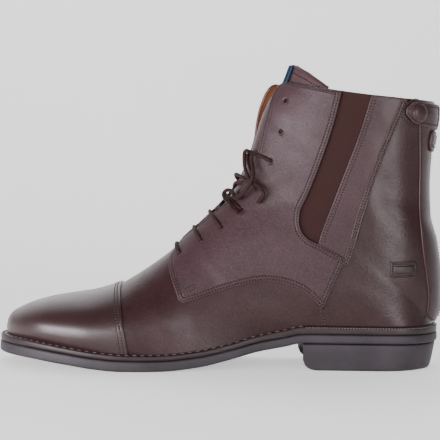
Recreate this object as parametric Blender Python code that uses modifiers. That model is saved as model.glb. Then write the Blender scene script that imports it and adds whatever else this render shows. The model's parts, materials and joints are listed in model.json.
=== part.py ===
"""Jodhpur (paddock) ankle boot, the left one: lace-up front, elastic gores, rear zip under a snap strap.

Units are metres, +Z up, the floor is z = 0 and the toe points along -X. The lateral side faces -Y.
Side-view sizes are millimetres: s runs forward from the heel's back and z runs up from the floor.
The upper is worked out from a fan of sections. Each section plane holds the Y direction and runs from a
point on the feather line or back seam to a point on the front profile. Every leather piece over it is the
same function with another offset, trimmed to its own outline.
"""

import math
from collections import namedtuple

import bmesh
import bpy
import numpy as np
from mathutils import Vector
from mathutils.geometry import delaunay_2d_cdt

MM = 0.001

# driving sizes of the boot, mm
LENGTH = 297.0
BALL_WIDTH = 102.0
SHAFT_HEIGHT = 190.0
HEEL_MID = 46.0
HEEL_BREAST = 0.3148 * LENGTH
FOREFOOT_FLAT = (0.672 * LENGTH, 0.715 * LENGTH)
RIM_GAP = 0.55
WALL = 1.8
LAYER_GAP = 0.45
LEATHER = 1.1
GORE_DEPTH = 0.5
GORE_THICKNESS = 1.1
WINDOW_GAP = 1.2
TONGUE_THICKNESS = 1.8
TONGUE_GAP = 1.0
TAB_THICKNESS = 0.6
TAB_GAP = 0.6
TRIM_THICKNESS = 0.8
LABEL_THICKNESS = 0.7
ZIP_THICKNESS = 0.7
PULL_THICKNESS = 1.4
LACE_GAP = 0.5
INSOLE_GAP = 0.9
INSOLE_LIFT = 0.45
INSOLE_TOP = 2.6
LAYER_HALF_GAP = 0.15
LACE_DIAMETER = 2.5
EYELET_DIAMETER = 3.6
WELT_LEDGE_TOE = 6.2
WELT_LEDGE_HEEL = 2.8
TOE_ROUND = 55.0
HEEL_ROUND = 34.0

LATERAL, MEDIAL = -1, 1

# the side-view outlines are drawn at this length and shaft height, and follow the boot's own
DRAWN_LENGTH, DRAWN_HEIGHT = 297.0, 190.0
ALONG, UP = LENGTH / DRAWN_LENGTH, SHAFT_HEIGHT / DRAWN_HEIGHT

# the sole's plan outline and the two levels of its side, as shares of length, ball width and shaft height
SoleRow = namedtuple("SoleRow", "along lateral medial ledge underside seam rim")
SOLE = [
    SoleRow(0.003, 0.324, 0.324, 0.021, 0.096, 0.128, 0.156),
    SoleRow(0.135, 0.333, 0.328, 0.021, 0.096, 0.128, 0.156),
    SoleRow(0.300, 0.338, 0.304, 0.023, 0.096, 0.128, 0.156),
    SoleRow(0.318, 0.340, 0.304, 0.024, 0.095, 0.127, 0.154),
    SoleRow(0.355, 0.345, 0.304, 0.026, 0.083, 0.116, 0.141),
    SoleRow(0.410, 0.352, 0.311, 0.029, 0.066, 0.099, 0.122),
    SoleRow(0.477, 0.390, 0.345, 0.033, 0.037, 0.071, 0.092),
    SoleRow(0.545, 0.432, 0.396, 0.037, 0.013, 0.049, 0.069),
    SoleRow(0.625, 0.478, 0.455, 0.040, 0.001, 0.038, 0.057),
    SoleRow(0.672, 0.496, 0.480, 0.042, 0.000, 0.037, 0.056),
    SoleRow(0.715, 0.500, 0.490, 0.043, 0.000, 0.038, 0.057),
    SoleRow(0.770, 0.492, 0.492, 0.045, 0.006, 0.044, 0.064),
    SoleRow(0.842, 0.461, 0.480, 0.048, 0.020, 0.058, 0.079),
    SoleRow(0.926, 0.402, 0.451, 0.052, 0.032, 0.070, 0.093),
    SoleRow(1.000, 0.353, 0.412, 0.055, 0.037, 0.075, 0.100),
]

# the upper's sections: foot and front are the plane's ends, as shares of length and shaft height; half widths
# are shares of ball width, peak is where along the plane they lie, then two roundings
Section = namedtuple("Section", "foot_s foot_z front_s front_z lateral medial peak back_round front_round")
SECTIONS = [
    Section(0.9775, 0.103, 0.9805, 0.126, 0.300, 0.350, 0.40, 2.0, 2.6),
    Section(0.9760, 0.103, 0.9780, 0.147, 0.304, 0.354, 0.36, 2.0, 2.6),
    Section(0.9690, 0.103, 0.9700, 0.166, 0.312, 0.362, 0.33, 2.0, 2.6),
    Section(0.9560, 0.101, 0.9530, 0.182, 0.328, 0.378, 0.30, 2.0, 2.7),
    Section(0.9330, 0.098, 0.9280, 0.200, 0.354, 0.404, 0.28, 2.0, 2.7),
    Section(0.8960, 0.093, 0.8910, 0.218, 0.390, 0.428, 0.27, 2.0, 2.6),
    Section(0.8420, 0.084, 0.8380, 0.234, 0.428, 0.447, 0.26, 2.0, 2.5),
    Section(0.7810, 0.073, 0.7850, 0.248, 0.461, 0.461, 0.26, 2.0, 2.4),
    Section(0.6970, 0.060, 0.7230, 0.280, 0.470, 0.455, 0.27, 2.0, 2.3),
    Section(0.6430, 0.059, 0.6850, 0.316, 0.453, 0.426, 0.28, 2.0, 2.2),
    Section(0.5860, 0.067, 0.6520, 0.352, 0.421, 0.388, 0.29, 2.0, 2.2),
    Section(0.5320, 0.081, 0.6180, 0.392, 0.392, 0.356, 0.30, 2.0, 2.2),
    Section(0.4650, 0.105, 0.5830, 0.442, 0.370, 0.335, 0.31, 2.0, 2.3),
    Section(0.3840, 0.134, 0.5440, 0.503, 0.353, 0.325, 0.32, 2.0, 2.4),
    Section(0.2900, 0.157, 0.5080, 0.563, 0.343, 0.323, 0.33, 2.1, 2.5),
    Section(0.1850, 0.157, 0.4800, 0.624, 0.338, 0.327, 0.35, 2.2, 2.6),
    Section(0.0940, 0.157, 0.4610, 0.679, 0.333, 0.328, 0.37, 2.3, 2.6),
    Section(0.0340, 0.157, 0.4490, 0.726, 0.331, 0.328, 0.39, 2.4, 2.6),
    Section(0.0125, 0.159, 0.4410, 0.768, 0.328, 0.325, 0.41, 2.4, 2.6),
    Section(-0.001, 0.232, 0.4320, 0.816, 0.325, 0.323, 0.42, 2.4, 2.6),
    Section(0.0010, 0.326, 0.4240, 0.861, 0.323, 0.321, 0.43, 2.4, 2.6),
    Section(0.0110, 0.442, 0.4150, 0.900, 0.323, 0.321, 0.44, 2.4, 2.5),
    Section(0.0280, 0.542, 0.4060, 0.934, 0.326, 0.323, 0.45, 2.4, 2.5),
    Section(0.0310, 0.658, 0.3960, 0.961, 0.333, 0.328, 0.45, 2.4, 2.4),
    Section(0.0270, 0.774, 0.3860, 0.979, 0.338, 0.333, 0.45, 2.4, 2.4),
    Section(0.0200, 0.868, 0.3770, 0.991, 0.343, 0.338, 0.45, 2.4, 2.4),
    Section(0.0180, 0.938, 0.3710, 1.001, 0.346, 0.341, 0.45, 2.4, 2.4),
    Section(0.0180, 1.053, 0.3510, 1.084, 0.348, 0.343, 0.45, 2.4, 2.4),
]
CAP_ROW = 8
THROAT_ROW = 11.4
HEEL_BACK_ROW = 18
COLLAR_ROW = 26
COLLAR_DIP = 2.2

# side-view outlines, mm forward of the heel's back and mm above the floor
Spot = namedtuple("Spot", "s z")
QUARTER_LOWER = [
    Spot(178.6, 79.0), Spot(182.1, 73.8), Spot(182.6, 68.0), Spot(180.8, 60.9), Spot(177.2, 51.8),
    Spot(174.6, 45.9), Spot(171.6, 44.4), Spot(162.1, 47.4), Spot(148.9, 52.1), Spot(135.7, 56.1),
    Spot(121.2, 58.9), Spot(104.6, 57.3), Spot(92.0, 51.5), Spot(85.2, 45.1), Spot(81.2, 40.1),
    Spot(74.2, 56.9), Spot(66.5, 74.3), Spot(75.0, 78.6), Spot(83.2, 82.9), Spot(93.6, 87.5),
    Spot(97.2, 96.0), Spot(96.8, 104.6), Spot(92.2, 115.2), Spot(84.4, 135.9), Spot(76.9, 159.2),
]
FACING_EDGE = [
    Spot(108.9, 186.0), Spot(113.4, 180.0), Spot(115.3, 173.3), Spot(118.5, 161.3), Spot(121.6, 146.7),
    Spot(126.1, 133.3), Spot(130.0, 124.6), Spot(137.9, 113.8), Spot(145.8, 105.7), Spot(152.4, 99.8),
    Spot(161.0, 92.0), Spot(169.6, 85.0),
]
GORE = [
    Spot(70.1, 181.6), Spot(75.2, 158.3), Spot(82.9, 134.6), Spot(90.6, 113.4), Spot(94.5, 102.9),
    Spot(95.0, 96.3), Spot(91.5, 89.8), Spot(83.8, 86.0), Spot(77.0, 105.8), Spot(69.3, 127.0),
    Spot(58.9, 156.0), Spot(51.6, 181.6),
]
ABOVE_GORE = [Spot(49.2, 190.0), Spot(68.2, 190.0)]
SEAM_STRIP = [
    Spot(30.3, 177.6), Spot(39.0, 156.0), Spot(48.4, 131.5), Spot(57.5, 103.0), Spot(65.0, 76.0),
]
STRIP_WIDTH = 4.0
BACK_SEAM = [
    Spot(19.0, 172.0), Spot(18.2, 158.0), Spot(17.0, 135.0), Spot(16.8, 112.6), Spot(15.1, 86.3),
    Spot(10.9, 60.1), Spot(9.4, 50.3),
]
BACK_FLARE = 20.0
LABEL = [Spot(36.9, 72.6), Spot(19.1, 72.9), Spot(18.9, 61.9), Spot(36.7, 61.6)]
EYELETS = [
    Spot(174.0, 73.2), Spot(160.4, 82.7), Spot(147.2, 91.3), Spot(134.2, 103.6), Spot(124.0, 119.0),
    Spot(114.8, 137.0), Spot(108.5, 156.2), Spot(105.2, 176.3),
]
LACED = 6

# routes of the loose tie on the lateral side: side-view place, mm, and height of the cord over the upper
TiePoint = namedtuple("TiePoint", "s z lift")
LACE_CORDS = {
    "lace_end": [
        TiePoint(128.0, 149.5, 6.6), TiePoint(131.5, 147.6, 6.8), TiePoint(133.7, 143.7, 6.6),
        TiePoint(133.4, 136.7, 6.4), TiePoint(132.8, 131.8, 6.4), TiePoint(130.9, 126.8, 6.4),
        TiePoint(129.2, 123.6, 6.4), TiePoint(126.0, 122.0, 6.4), TiePoint(122.6, 119.1, 6.5),
        TiePoint(120.8, 116.1, 6.5), TiePoint(121.8, 113.2, 5.6), TiePoint(124.2, 109.8, 3.7),
    ],
    "lace_loop": [
        TiePoint(137.0, 103.2, 5.6), TiePoint(141.0, 105.6, 5.7), TiePoint(142.6, 108.6, 5.9),
        TiePoint(146.0, 112.0, 6.2), TiePoint(146.8, 115.3, 6.4), TiePoint(144.3, 117.6, 6.4),
        TiePoint(140.9, 116.4, 6.2), TiePoint(139.6, 112.6, 5.9), TiePoint(136.4, 113.6, 6.2),
        TiePoint(133.0, 117.6, 7.4), TiePoint(130.2, 121.6, 9.0), TiePoint(128.4, 125.6, 9.3),
        TiePoint(127.6, 129.6, 8.2), TiePoint(128.0, 134.2, 6.6), TiePoint(128.8, 138.2, 6.4),
        TiePoint(128.4, 141.8, 6.3),
    ],
}
CORD_PITCH = 2.2


def smooth(x, xs, ys):
    """Cubic through the points of a table, with slopes held so that it never overshoots between rows."""
    x = np.clip(np.asarray(x, float), xs[0], xs[-1])
    xs, ys = np.asarray(xs, float), np.asarray(ys, float)
    step = np.diff(xs)
    rise = np.diff(ys) / step
    slope = np.zeros_like(ys)
    slope[0], slope[-1] = rise[0], rise[-1]
    same = rise[:-1] * rise[1:] > 0
    weight_a = 2 * step[1:] + step[:-1]
    weight_b = step[1:] + 2 * step[:-1]
    with np.errstate(divide="ignore", invalid="ignore"):
        mean = (weight_a + weight_b) / (weight_a / rise[:-1] + weight_b / rise[1:])
    slope[1:-1] = np.where(same, mean, 0.0)
    i = np.clip(np.searchsorted(xs, x) - 1, 0, len(xs) - 2)
    h = step[i]
    u = (x - xs[i]) / h
    start = (1 + 2 * u) * (1 - u) ** 2 * ys[i] + u * (1 - u) ** 2 * h * slope[i]
    return start + u**2 * (3 - 2 * u) * ys[i + 1] + u**2 * (u - 1) * h * slope[i + 1]


def sole_value(column, s):
    """One column of the sole's table at s, as its share."""
    values = [getattr(row, column) for row in SOLE]
    return smooth(np.asarray(s, float) / LENGTH, [row.along for row in SOLE], values)


def underside(s):
    """Height of the outsole's underside."""
    return SHAFT_HEIGHT * sole_value("underside", s)


def seam(s):
    """Height of the line between outsole and welt."""
    return SHAFT_HEIGHT * sole_value("seam", s)


def rim(s):
    """Height of the welt's upper face, where the upper stands."""
    return SHAFT_HEIGHT * sole_value("rim", s)


def end_round(s):
    """Share of the full width left by the round toe and heel of the plan outline."""
    toe = np.clip((s - (LENGTH - TOE_ROUND)) / TOE_ROUND, 0, 1)
    heel = np.clip((1 + HEEL_ROUND - s) / HEEL_ROUND, 0, 1)
    return np.sqrt(np.clip(1 - toe**2.3, 0, 1)) * np.sqrt(np.clip(1 - heel**2.1, 0, 1))


def half_width(side, s, ledge=0.0, toe=0.0, heel=0.0, drawn_in=0.0):
    """Plan half width of the sole's outline, less a share of the ledge and toe, heel and side mm."""
    whole = 1 + (np.asarray(s, float) - 1 - heel) * (LENGTH - 1) / (LENGTH - 1 - heel - toe)
    whole = np.clip(whole, 1, LENGTH)
    column = "lateral" if side == LATERAL else "medial"
    full = BALL_WIDTH * (sole_value(column, whole) - ledge * sole_value("ledge", whole)) - drawn_in
    return full * end_round(whole)


def feather(side, s):
    """Half width of the feather line, the upper's lower edge."""
    return half_width(side, s, 1.0, WELT_LEDGE_TOE, WELT_LEDGE_HEEL)


class Last:
    """The upper's outer surface as a dense net: rows over the sections, columns from front to foot."""

    PER_ROW = 16
    SHARES = 1 - np.cos(np.linspace(0, math.pi / 2, 90))

    def __init__(self):
        count = (len(SECTIONS) - 1) * self.PER_ROW + 1
        self.rows = np.linspace(0, len(SECTIONS) - 1, count)
        self.nets = {side: self._net(side) for side in (LATERAL, MEDIAL)}
        self.arcs = {}
        self.normals = {}
        for side, net in self.nets.items():
            step = np.linalg.norm(np.diff(net, axis=1), axis=2)
            self.arcs[side] = np.concatenate([np.zeros((count, 1)), np.cumsum(step, axis=1)], axis=1)
        self._find_normals()

    def value(self, column, row):
        """One column of the section table at a row number."""
        return smooth(row, range(len(SECTIONS)), [getattr(section, column) for section in SECTIONS])

    def _net(self, side):
        row = self.rows[:, None]
        foot_s = LENGTH * self.value("foot_s", row)
        open_row = row <= HEEL_BACK_ROW
        foot_z = np.where(open_row, rim(foot_s) + RIM_GAP, SHAFT_HEIGHT * self.value("foot_z", row))
        front_s = LENGTH * self.value("front_s", row)
        front_z = SHAFT_HEIGHT * self.value("front_z", row)
        stretched = 1 + (foot_s - 1) * (LENGTH - 1) / (LENGTH - 1 - WELT_LEDGE_TOE)
        toe_s = np.where(row < CAP_ROW, stretched, 1 + HEEL_ROUND)
        body = BALL_WIDTH * self.value("lateral" if side == LATERAL else "medial", row) * end_round(toe_s)
        low = np.where(open_row, feather(side, foot_s), 0.0)
        low = np.where(row >= HEEL_BACK_ROW - 1e-9, 0.0, low)
        body = np.maximum(body, low + 0.02)
        peak = self.value("peak", row)
        near_foot = np.concatenate([self.SHARES, 2 - self.SHARES[-2::-1]]) / 2
        share = 1 - near_foot[None, :]
        rise = np.clip(share / peak, 0, 1)
        lower = np.sqrt(low**2 + (body**2 - low**2) * (1 - (1 - rise) ** self.value("back_round", row)))
        over = np.clip((share - peak) / (1 - peak), 0, 1)
        upper = body * np.sqrt(np.clip(1 - over ** self.value("front_round", row), 0, 1))
        width = np.where(share < peak, lower, upper)
        dip = COLLAR_DIP * np.clip((row - HEEL_BACK_ROW) / (COLLAR_ROW - HEEL_BACK_ROW), 0, 1)
        s = foot_s + share * (front_s - foot_s)
        z = foot_z + share * (front_z - foot_z) - dip * 4 * share * (1 - share)
        return np.stack([s, side * width, z], axis=2)

    def _find_normals(self):
        for side, net in self.nets.items():
            along = np.gradient(net, axis=0)
            across = np.gradient(net, axis=1)
            mirror = self.nets[-side]
            across[:, 0] = net[:, 1] - mirror[:, 1]
            closed = self.rows > HEEL_BACK_ROW
            across[closed, -1] = mirror[closed, -2] - net[closed, -2]
            along[0] = 2 * (net[1] - net[0]) - (net[2] - net[1])
            normal = np.cross(across, along) * side
            size = np.linalg.norm(normal, axis=2, keepdims=True)
            normal = normal / np.maximum(size, 1e-9)
            normal[0] = np.array([1.0, 0.0, 0.0])
            self.normals[side] = normal

    def total(self, row, side):
        """Arc length of one side of the section at a row, front line to foot."""
        return np.interp(row, self.rows, self.arcs[side][:, -1])

    def at(self, row, arc, side, offset=0.0):
        """Point at a row number and an arc length from the front line, moved out along the normal."""
        position = float(np.clip(row, 0, len(SECTIONS) - 1)) * self.PER_ROW
        i = min(int(position), len(self.rows) - 2)
        blend = position - i
        found = np.zeros(6)
        share = arc / self.total(row, side)
        for k, weight in ((i, 1 - blend), (i + 1, blend)):
            arcs = self.arcs[side][k]
            place = np.interp(share * arcs[-1], arcs, np.arange(len(arcs)))
            j = min(int(place), len(arcs) - 2)
            part = place - j
            net, normal = self.nets[side][k], self.normals[side][k]
            found[:3] += weight * (net[j] * (1 - part) + net[j + 1] * part)
            found[3:] += weight * (normal[j] * (1 - part) + normal[j + 1] * part)
        normal = found[3:] / np.linalg.norm(found[3:])
        return found[:3] + offset * normal

    def around(self, row, back, offset=0.0):
        """Point at a row number and a signed arc length from the back seam, lateral side positive."""
        side = LATERAL if back >= 0 else MEDIAL
        return self.at(row, self.total(row, side) - abs(back), side, offset)

    def find(self, spot, side, offset=0.0):
        """Row number and arc length of a drawn side-view spot on the surface with that offset."""
        spot = Spot(spot.s * ALONG, spot.z * UP)
        net = self.nets[side] + offset * self.normals[side]
        gap = (net[:, :, 0] - spot.s) ** 2 + (net[:, :, 2] - spot.z) ** 2
        i, j = np.unravel_index(np.argmin(gap), gap.shape)
        row, arc = self.rows[i], self.arcs[side][i, j]
        for _ in range(6):
            here = self.at(row, arc, side, offset)
            by_row = (self.at(row + 0.02, arc, side, offset) - here) / 0.02
            by_arc = (self.at(row, arc + 0.2, side, offset) - here) / 0.2
            matrix = np.array([[by_row[0], by_arc[0]], [by_row[2], by_arc[2]]])
            miss = np.array([spot.s - here[0], spot.z - here[2]])
            if abs(np.linalg.det(matrix)) < 1e-6:
                break
            change = np.linalg.lstsq(matrix, miss, rcond=None)[0]
            row = float(np.clip(row + np.clip(change[0], -0.5, 0.5), 0, len(SECTIONS) - 1))
            arc = float(np.clip(arc + np.clip(change[1], -4, 4), 0, self.total(row, side)))
        return row, arc

    def row_at_back(self, z):
        """Row number where the back seam is at height z."""
        heights = self.nets[LATERAL][:, -1, 2]
        first = HEEL_BACK_ROW * self.PER_ROW
        return float(np.interp(z, heights[first:], self.rows[first:]))

    def columns(self, row, side, inner, count):
        """Arc lengths from the foot to the inner edge, closer together where the section turns."""
        i = int(round(row * self.PER_ROW))
        net, arcs = self.nets[side][i], self.arcs[side][i]
        step = np.diff(net, axis=0)
        size = np.maximum(np.linalg.norm(step, axis=1), 1e-9)
        unit = step / size[:, None]
        turn = np.zeros(len(size))
        turn[1:] = np.arccos(np.clip((unit[1:] * unit[:-1]).sum(axis=1), -1, 1))
        load = np.concatenate([[0], np.cumsum(size / 9.0 + turn / 0.22)])
        start, end = np.interp([inner, arcs[-1]], arcs, load)
        return np.interp(np.linspace(end, start, count + 1), load, arcs)


LAST = Last()


def world(point):
    """Side-view millimetres and half width to scene metres."""
    return Vector(((HEEL_MID - point[0]) * MM, point[1] * MM, point[2] * MM))


def clear_scene():
    """Remove what the scene holds."""
    for item in list(bpy.data.objects):
        bpy.data.objects.remove(item, do_unlink=True)


def new_collection(name):
    """A collection linked to the scene."""
    collection = bpy.data.collections.new(name)
    bpy.context.scene.collection.children.link(collection)
    return collection


Finish = namedtuple("Finish", "name colour roughness metallic")
LEATHER_BROWN = Finish("leather_brown", (0.050, 0.034, 0.030), 0.42, 0.0)
LEATHER_TRIM = Finish("leather_trim", (0.056, 0.038, 0.033), 0.45, 0.0)
ELASTIC = Finish("elastic", (0.036, 0.018, 0.016), 0.9, 0.0)
RUBBER = Finish("rubber", (0.060, 0.058, 0.060), 0.6, 0.0)
WELT_BROWN = Finish("welt_brown", (0.090, 0.066, 0.056), 0.5, 0.0)
LINING = Finish("lining", (0.30, 0.19, 0.11), 0.8, 0.0)
CORD = Finish("cord", (0.046, 0.028, 0.022), 0.75, 0.0)
METAL = Finish("zip_metal", (0.20, 0.17, 0.15), 0.35, 1.0)
CLOTH = Finish("label_cloth", (0.020, 0.026, 0.060), 0.85, 0.0)


def material(finish):
    """One Principled material for each finish."""
    found = bpy.data.materials.get(finish.name)
    if found:
        return found
    made = bpy.data.materials.new(finish.name)
    made.use_nodes = True
    shader = made.node_tree.nodes["Principled BSDF"]
    shader.inputs["Base Color"].default_value = (*finish.colour, 1.0)
    shader.inputs["Roughness"].default_value = finish.roughness
    shader.inputs["Metallic"].default_value = finish.metallic
    made.diffuse_color = (*finish.colour, 1.0)
    return made


def make_object(name, mesh, finish, collection):
    """Object for a mesh, in its collection with its material."""
    made = bpy.data.objects.new(name, mesh)
    if finish:
        mesh.materials.append(material(finish))
    collection.objects.link(made)
    return made


def mesh_from(name, points, faces):
    """Mesh from world points and faces, doubles merged and normals set outward."""
    shape = bmesh.new()
    verts = [shape.verts.new(point) for point in points]
    for face in faces:
        corners = [verts[i] for i in face]
        if len({tuple(round(c, 8) for c in v.co) for v in corners}) >= 3:
            shape.faces.new(corners)
    bmesh.ops.remove_doubles(shape, verts=shape.verts, dist=0.00002)
    bmesh.ops.dissolve_degenerate(shape, edges=shape.edges, dist=0.00001)
    bmesh.ops.recalc_face_normals(shape, faces=shape.faces)
    mesh = bpy.data.meshes.new(name)
    shape.to_mesh(mesh)
    shape.free()
    return mesh


def face_out(mesh, centre):
    """Turn an open sheet over if its faces look at the centre."""
    look = sum((face.center - centre).dot(face.normal) * face.area for face in mesh.polygons)
    if look < 0:
        mesh.flip_normals()


INSIDE = Vector(((HEEL_MID - 0.32 * LENGTH) * MM, 0.0, 0.33 * SHAFT_HEIGHT * MM))


def sheet(name, points, faces, thickness, finish, collection):
    """Closed leather piece: an open sheet of outer points with a Solidify inward."""
    mesh = mesh_from(name, points, faces)
    face_out(mesh, INSIDE)
    made = make_object(name, mesh, finish, collection)
    wall = made.modifiers.new("wall", "SOLIDIFY")
    wall.thickness = thickness * MM
    wall.offset = -1.0
    wall.use_even_offset = True
    wall.use_quality_normals = True
    return made


def grid_faces(rows, columns, keep=lambda i, j: True):
    """Quads of a grid of points, row by row."""
    return [
        (i * columns + j, i * columns + j + 1, (i + 1) * columns + j + 1, (i + 1) * columns + j)
        for i in range(rows - 1)
        for j in range(columns - 1)
        if keep(i, j)
    ]


# rows of the upper's net, closer together at the toe
UPPER_ROWS = np.array(
    [0, 0.5, 1, 1.5, 2, 3, 4, 5, 6, 7, 8, 9, 10, 10.5, 11, 11.5, 12, 12.5, 13, 13.5, 14, 14.5, 15, 15.5, 16]
    + [16.5, 17, 17.4, 17.7, 18, 18.3, 18.6, 19, 19.5, 20, 20.5, 21, 21.5, 22, 22.5, 23, 23.5, 24, 25, 26]
)
SIDE_COLUMNS = 12
THROAT_COLUMNS = 2
THROAT_EDGE = [(0, 14.0), (8, 20.0), (11, 21.0), (14, 27.0), (18, 32.0), (26, 33.0)]


def throat_edge(row):
    """Arc length from the front line to the inner edge of the upper's own wall."""
    edge = float(np.interp(row, *zip(*THROAT_EDGE)))
    return min(edge, 0.35 * float(LAST.total(row, LATERAL)))


def net_row(row, offset):
    """One row of the upper's net: lateral foot, over the front, to medial foot."""
    lateral = LAST.columns(row, LATERAL, throat_edge(row), SIDE_COLUMNS)
    front = np.linspace(throat_edge(row), 0, THROAT_COLUMNS + 1)[1:]
    medial = LAST.columns(row, MEDIAL, throat_edge(row), SIDE_COLUMNS)
    places = [(LATERAL, arc) for arc in lateral]
    places += [(LATERAL, arc) for arc in front]
    places += [(MEDIAL, arc) for arc in front[-2::-1]]
    places += [(MEDIAL, arc) for arc in medial[::-1]]
    points = [LAST.at(row, arc, side, offset) for side, arc in places]
    if row < HEEL_BACK_ROW:
        for point in (points[0], points[-1]):
            point[2] = rim(point[0]) + RIM_GAP
    if row == 0:
        half = points[: len(points) // 2 + 1]
        for point in half:
            point[1] = 0.0
        points = half + half[-2::-1]
    return points


def build_upper(collection, cutters):
    """Vamp, shaft and counter as one hollow wall, open at collar, throat, gores and underneath."""
    columns = 2 * (SIDE_COLUMNS + THROAT_COLUMNS) + 1
    points = [world(point) for row in UPPER_ROWS for point in net_row(row, 0.0)]
    throat_start = int(np.searchsorted(UPPER_ROWS, THROAT_ROW))

    def keep(i, j):
        in_throat = SIDE_COLUMNS <= j < SIDE_COLUMNS + 2 * THROAT_COLUMNS
        return not (in_throat and i >= throat_start)

    faces = grid_faces(len(UPPER_ROWS), columns, keep)
    upper = sheet("upper", points, faces, WALL, LEATHER_BROWN, collection)
    outline = bpy.data.curves.new("gore_window", "CURVE")
    outline.dimensions = "2D"
    outline.fill_mode = "BOTH"
    outline.extrude = BALL_WIDTH * MM
    spline = outline.splines.new("POLY")
    window = GORE + ABOVE_GORE
    spline.points.add(len(window) - 1)
    for point, spot in zip(spline.points, window):
        point.co = ((HEEL_MID - spot.s * ALONG) * MM, spot.z * UP * MM, 0.0, 1.0)
    spline.use_cyclic_u = True
    flat = bpy.data.objects.new("gore_window_outline", outline)
    cutters.objects.link(flat)
    bpy.context.view_layer.update()
    mesh = bpy.data.meshes.new_from_object(flat)
    bpy.data.objects.remove(flat, do_unlink=True)
    shape = bmesh.new()
    shape.from_mesh(mesh)
    bmesh.ops.remove_doubles(shape, verts=shape.verts, dist=0.00001)
    bmesh.ops.recalc_face_normals(shape, faces=shape.faces)
    shape.to_mesh(mesh)
    shape.free()
    cutter = make_object("gore_window", mesh, None, cutters)
    cutter.rotation_euler = (math.pi / 2, 0.0, 0.0)
    cutter.hide_render = True
    cutter.display_type = "WIRE"
    cut = upper.modifiers.new("gore_window", "BOOLEAN")
    cut.operation = "DIFFERENCE"
    cut.solver = "EXACT"
    cut.object = cutter


def build_toe_cap(collection):
    """Toe cap over the vamp, from the welt to its straight seam."""
    rows = UPPER_ROWS[UPPER_ROWS <= CAP_ROW]
    columns = 2 * (SIDE_COLUMNS + THROAT_COLUMNS) + 1
    outer = LAYER_GAP + LEATHER
    points = [world(point) for row in rows for point in net_row(row, outer)]
    sheet("toe_cap", points, grid_faces(len(rows), columns), LEATHER, LEATHER_BROWN, collection)


ROW_PITCH = 9.0


def resample(points, pitch, closed=True):
    """Points along a polyline in the surface's own plane, at most a pitch apart, corners kept."""
    out = []
    pairs = zip(points, points[1:] + points[:1] if closed else points[1:])
    for a, b in pairs:
        a, b = np.asarray(a, float), np.asarray(b, float)
        count = max(1, math.ceil(np.linalg.norm(b - a) / pitch))
        out += [a + (b - a) * k / count for k in range(count)]
    return out


def inside(point, ring):
    """True when a plane point lies in the ring."""
    x, y = point
    odd = False
    for (x0, y0), (x1, y1) in zip(ring, ring[1:] + ring[:1]):
        if (y0 > y) != (y1 > y) and x < (x1 - x0) * (y - y0) / (y1 - y0) + x0:
            odd = not odd
    return odd


def edge_distance(point, ring):
    """Distance from a plane point to the nearest corner of the ring."""
    return min(math.hypot(point[0] - x, point[1] - y) for x, y in ring)


def triangulate(ring, holes, pitch_row, pitch_arc):
    """Triangles of a ring with holes, on a lattice: returns plane points and faces."""
    ring = [tuple(map(float, p)) for p in ring]
    xs, ys = zip(*ring)
    lattice = []
    clear = 0.45 * min(pitch_row, pitch_arc)
    loops = [ring] + [[tuple(map(float, p)) for p in hole] for hole in holes]
    for k, x in enumerate(np.arange(min(xs) + pitch_row / 2, max(xs), pitch_row)):
        for y in np.arange(min(ys) + pitch_arc / 2 * (1 + k % 2), max(ys), pitch_arc):
            if inside((x, y), ring) and min(edge_distance((x, y), loop) for loop in loops) > clear:
                if not any(inside((x, y), loop) for loop in loops[1:]):
                    lattice.append((x, y))
    verts, edges = [], []
    for loop in loops:
        first = len(verts)
        verts += loop
        edges += [(first + k, first + (k + 1) % len(loop)) for k in range(len(loop))]
    verts += lattice
    found = delaunay_2d_cdt([Vector(v) for v in verts], edges, [], 2, 1e-6)
    return [tuple(v) for v in found[0]], [tuple(face) for face in found[2]]


def panel(name, ring, side, low, thickness, finish, collection, holes=(), pitch=(7.0, 6.0)):
    """Leather piece over the upper: a ring of (row, arc) places, lifted to its offset and given a wall."""
    scaled = [(row * ROW_PITCH, arc) for row, arc in ring]
    ring = resample(scaled, 4.5)
    flat_holes = [[(row * ROW_PITCH, arc) for row, arc in hole] for hole in holes]
    places, faces = triangulate(ring, flat_holes, *pitch)
    points = [world(LAST.at(x / ROW_PITCH, y, side, low + thickness)) for x, y in places]
    return sheet(name, points, faces, thickness, finish, collection)


def back_panel(name, ring, low, thickness, finish, collection, pitch=(7.0, 5.0)):
    """The same for a piece across the back seam, its ring in (row, signed arc from the seam) places."""
    ring = resample([(row * ROW_PITCH, arc) for row, arc in ring], 4.0)
    places, faces = triangulate(ring, [], *pitch)
    points = [world(LAST.around(x / ROW_PITCH, y, low + thickness)) for x, y in places]
    return sheet(name, points, faces, thickness, finish, collection)


def rounded(points, reach):
    """Polyline with each corner cut back and bent, both sides of it by a reach or less."""
    out = []
    count = len(points)
    for k in range(count):
        before, here, after = (np.asarray(points[(k + d) % count], float) for d in (-1, 0, 1))
        to_before, to_after = before - here, after - here
        cut = min(reach, 0.45 * np.linalg.norm(to_before), 0.45 * np.linalg.norm(to_after))
        a = here + to_before / np.linalg.norm(to_before) * cut
        b = here + to_after / np.linalg.norm(to_after) * cut
        for u in (0.0, 0.5, 1.0):
            out.append(tuple((1 - u) ** 2 * a + 2 * u * (1 - u) * here + u**2 * b))
    return out


def trace(spots, side, offset):
    """Places of side-view spots on the surface."""
    return [LAST.find(spot, side, offset) for spot in spots]


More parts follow.
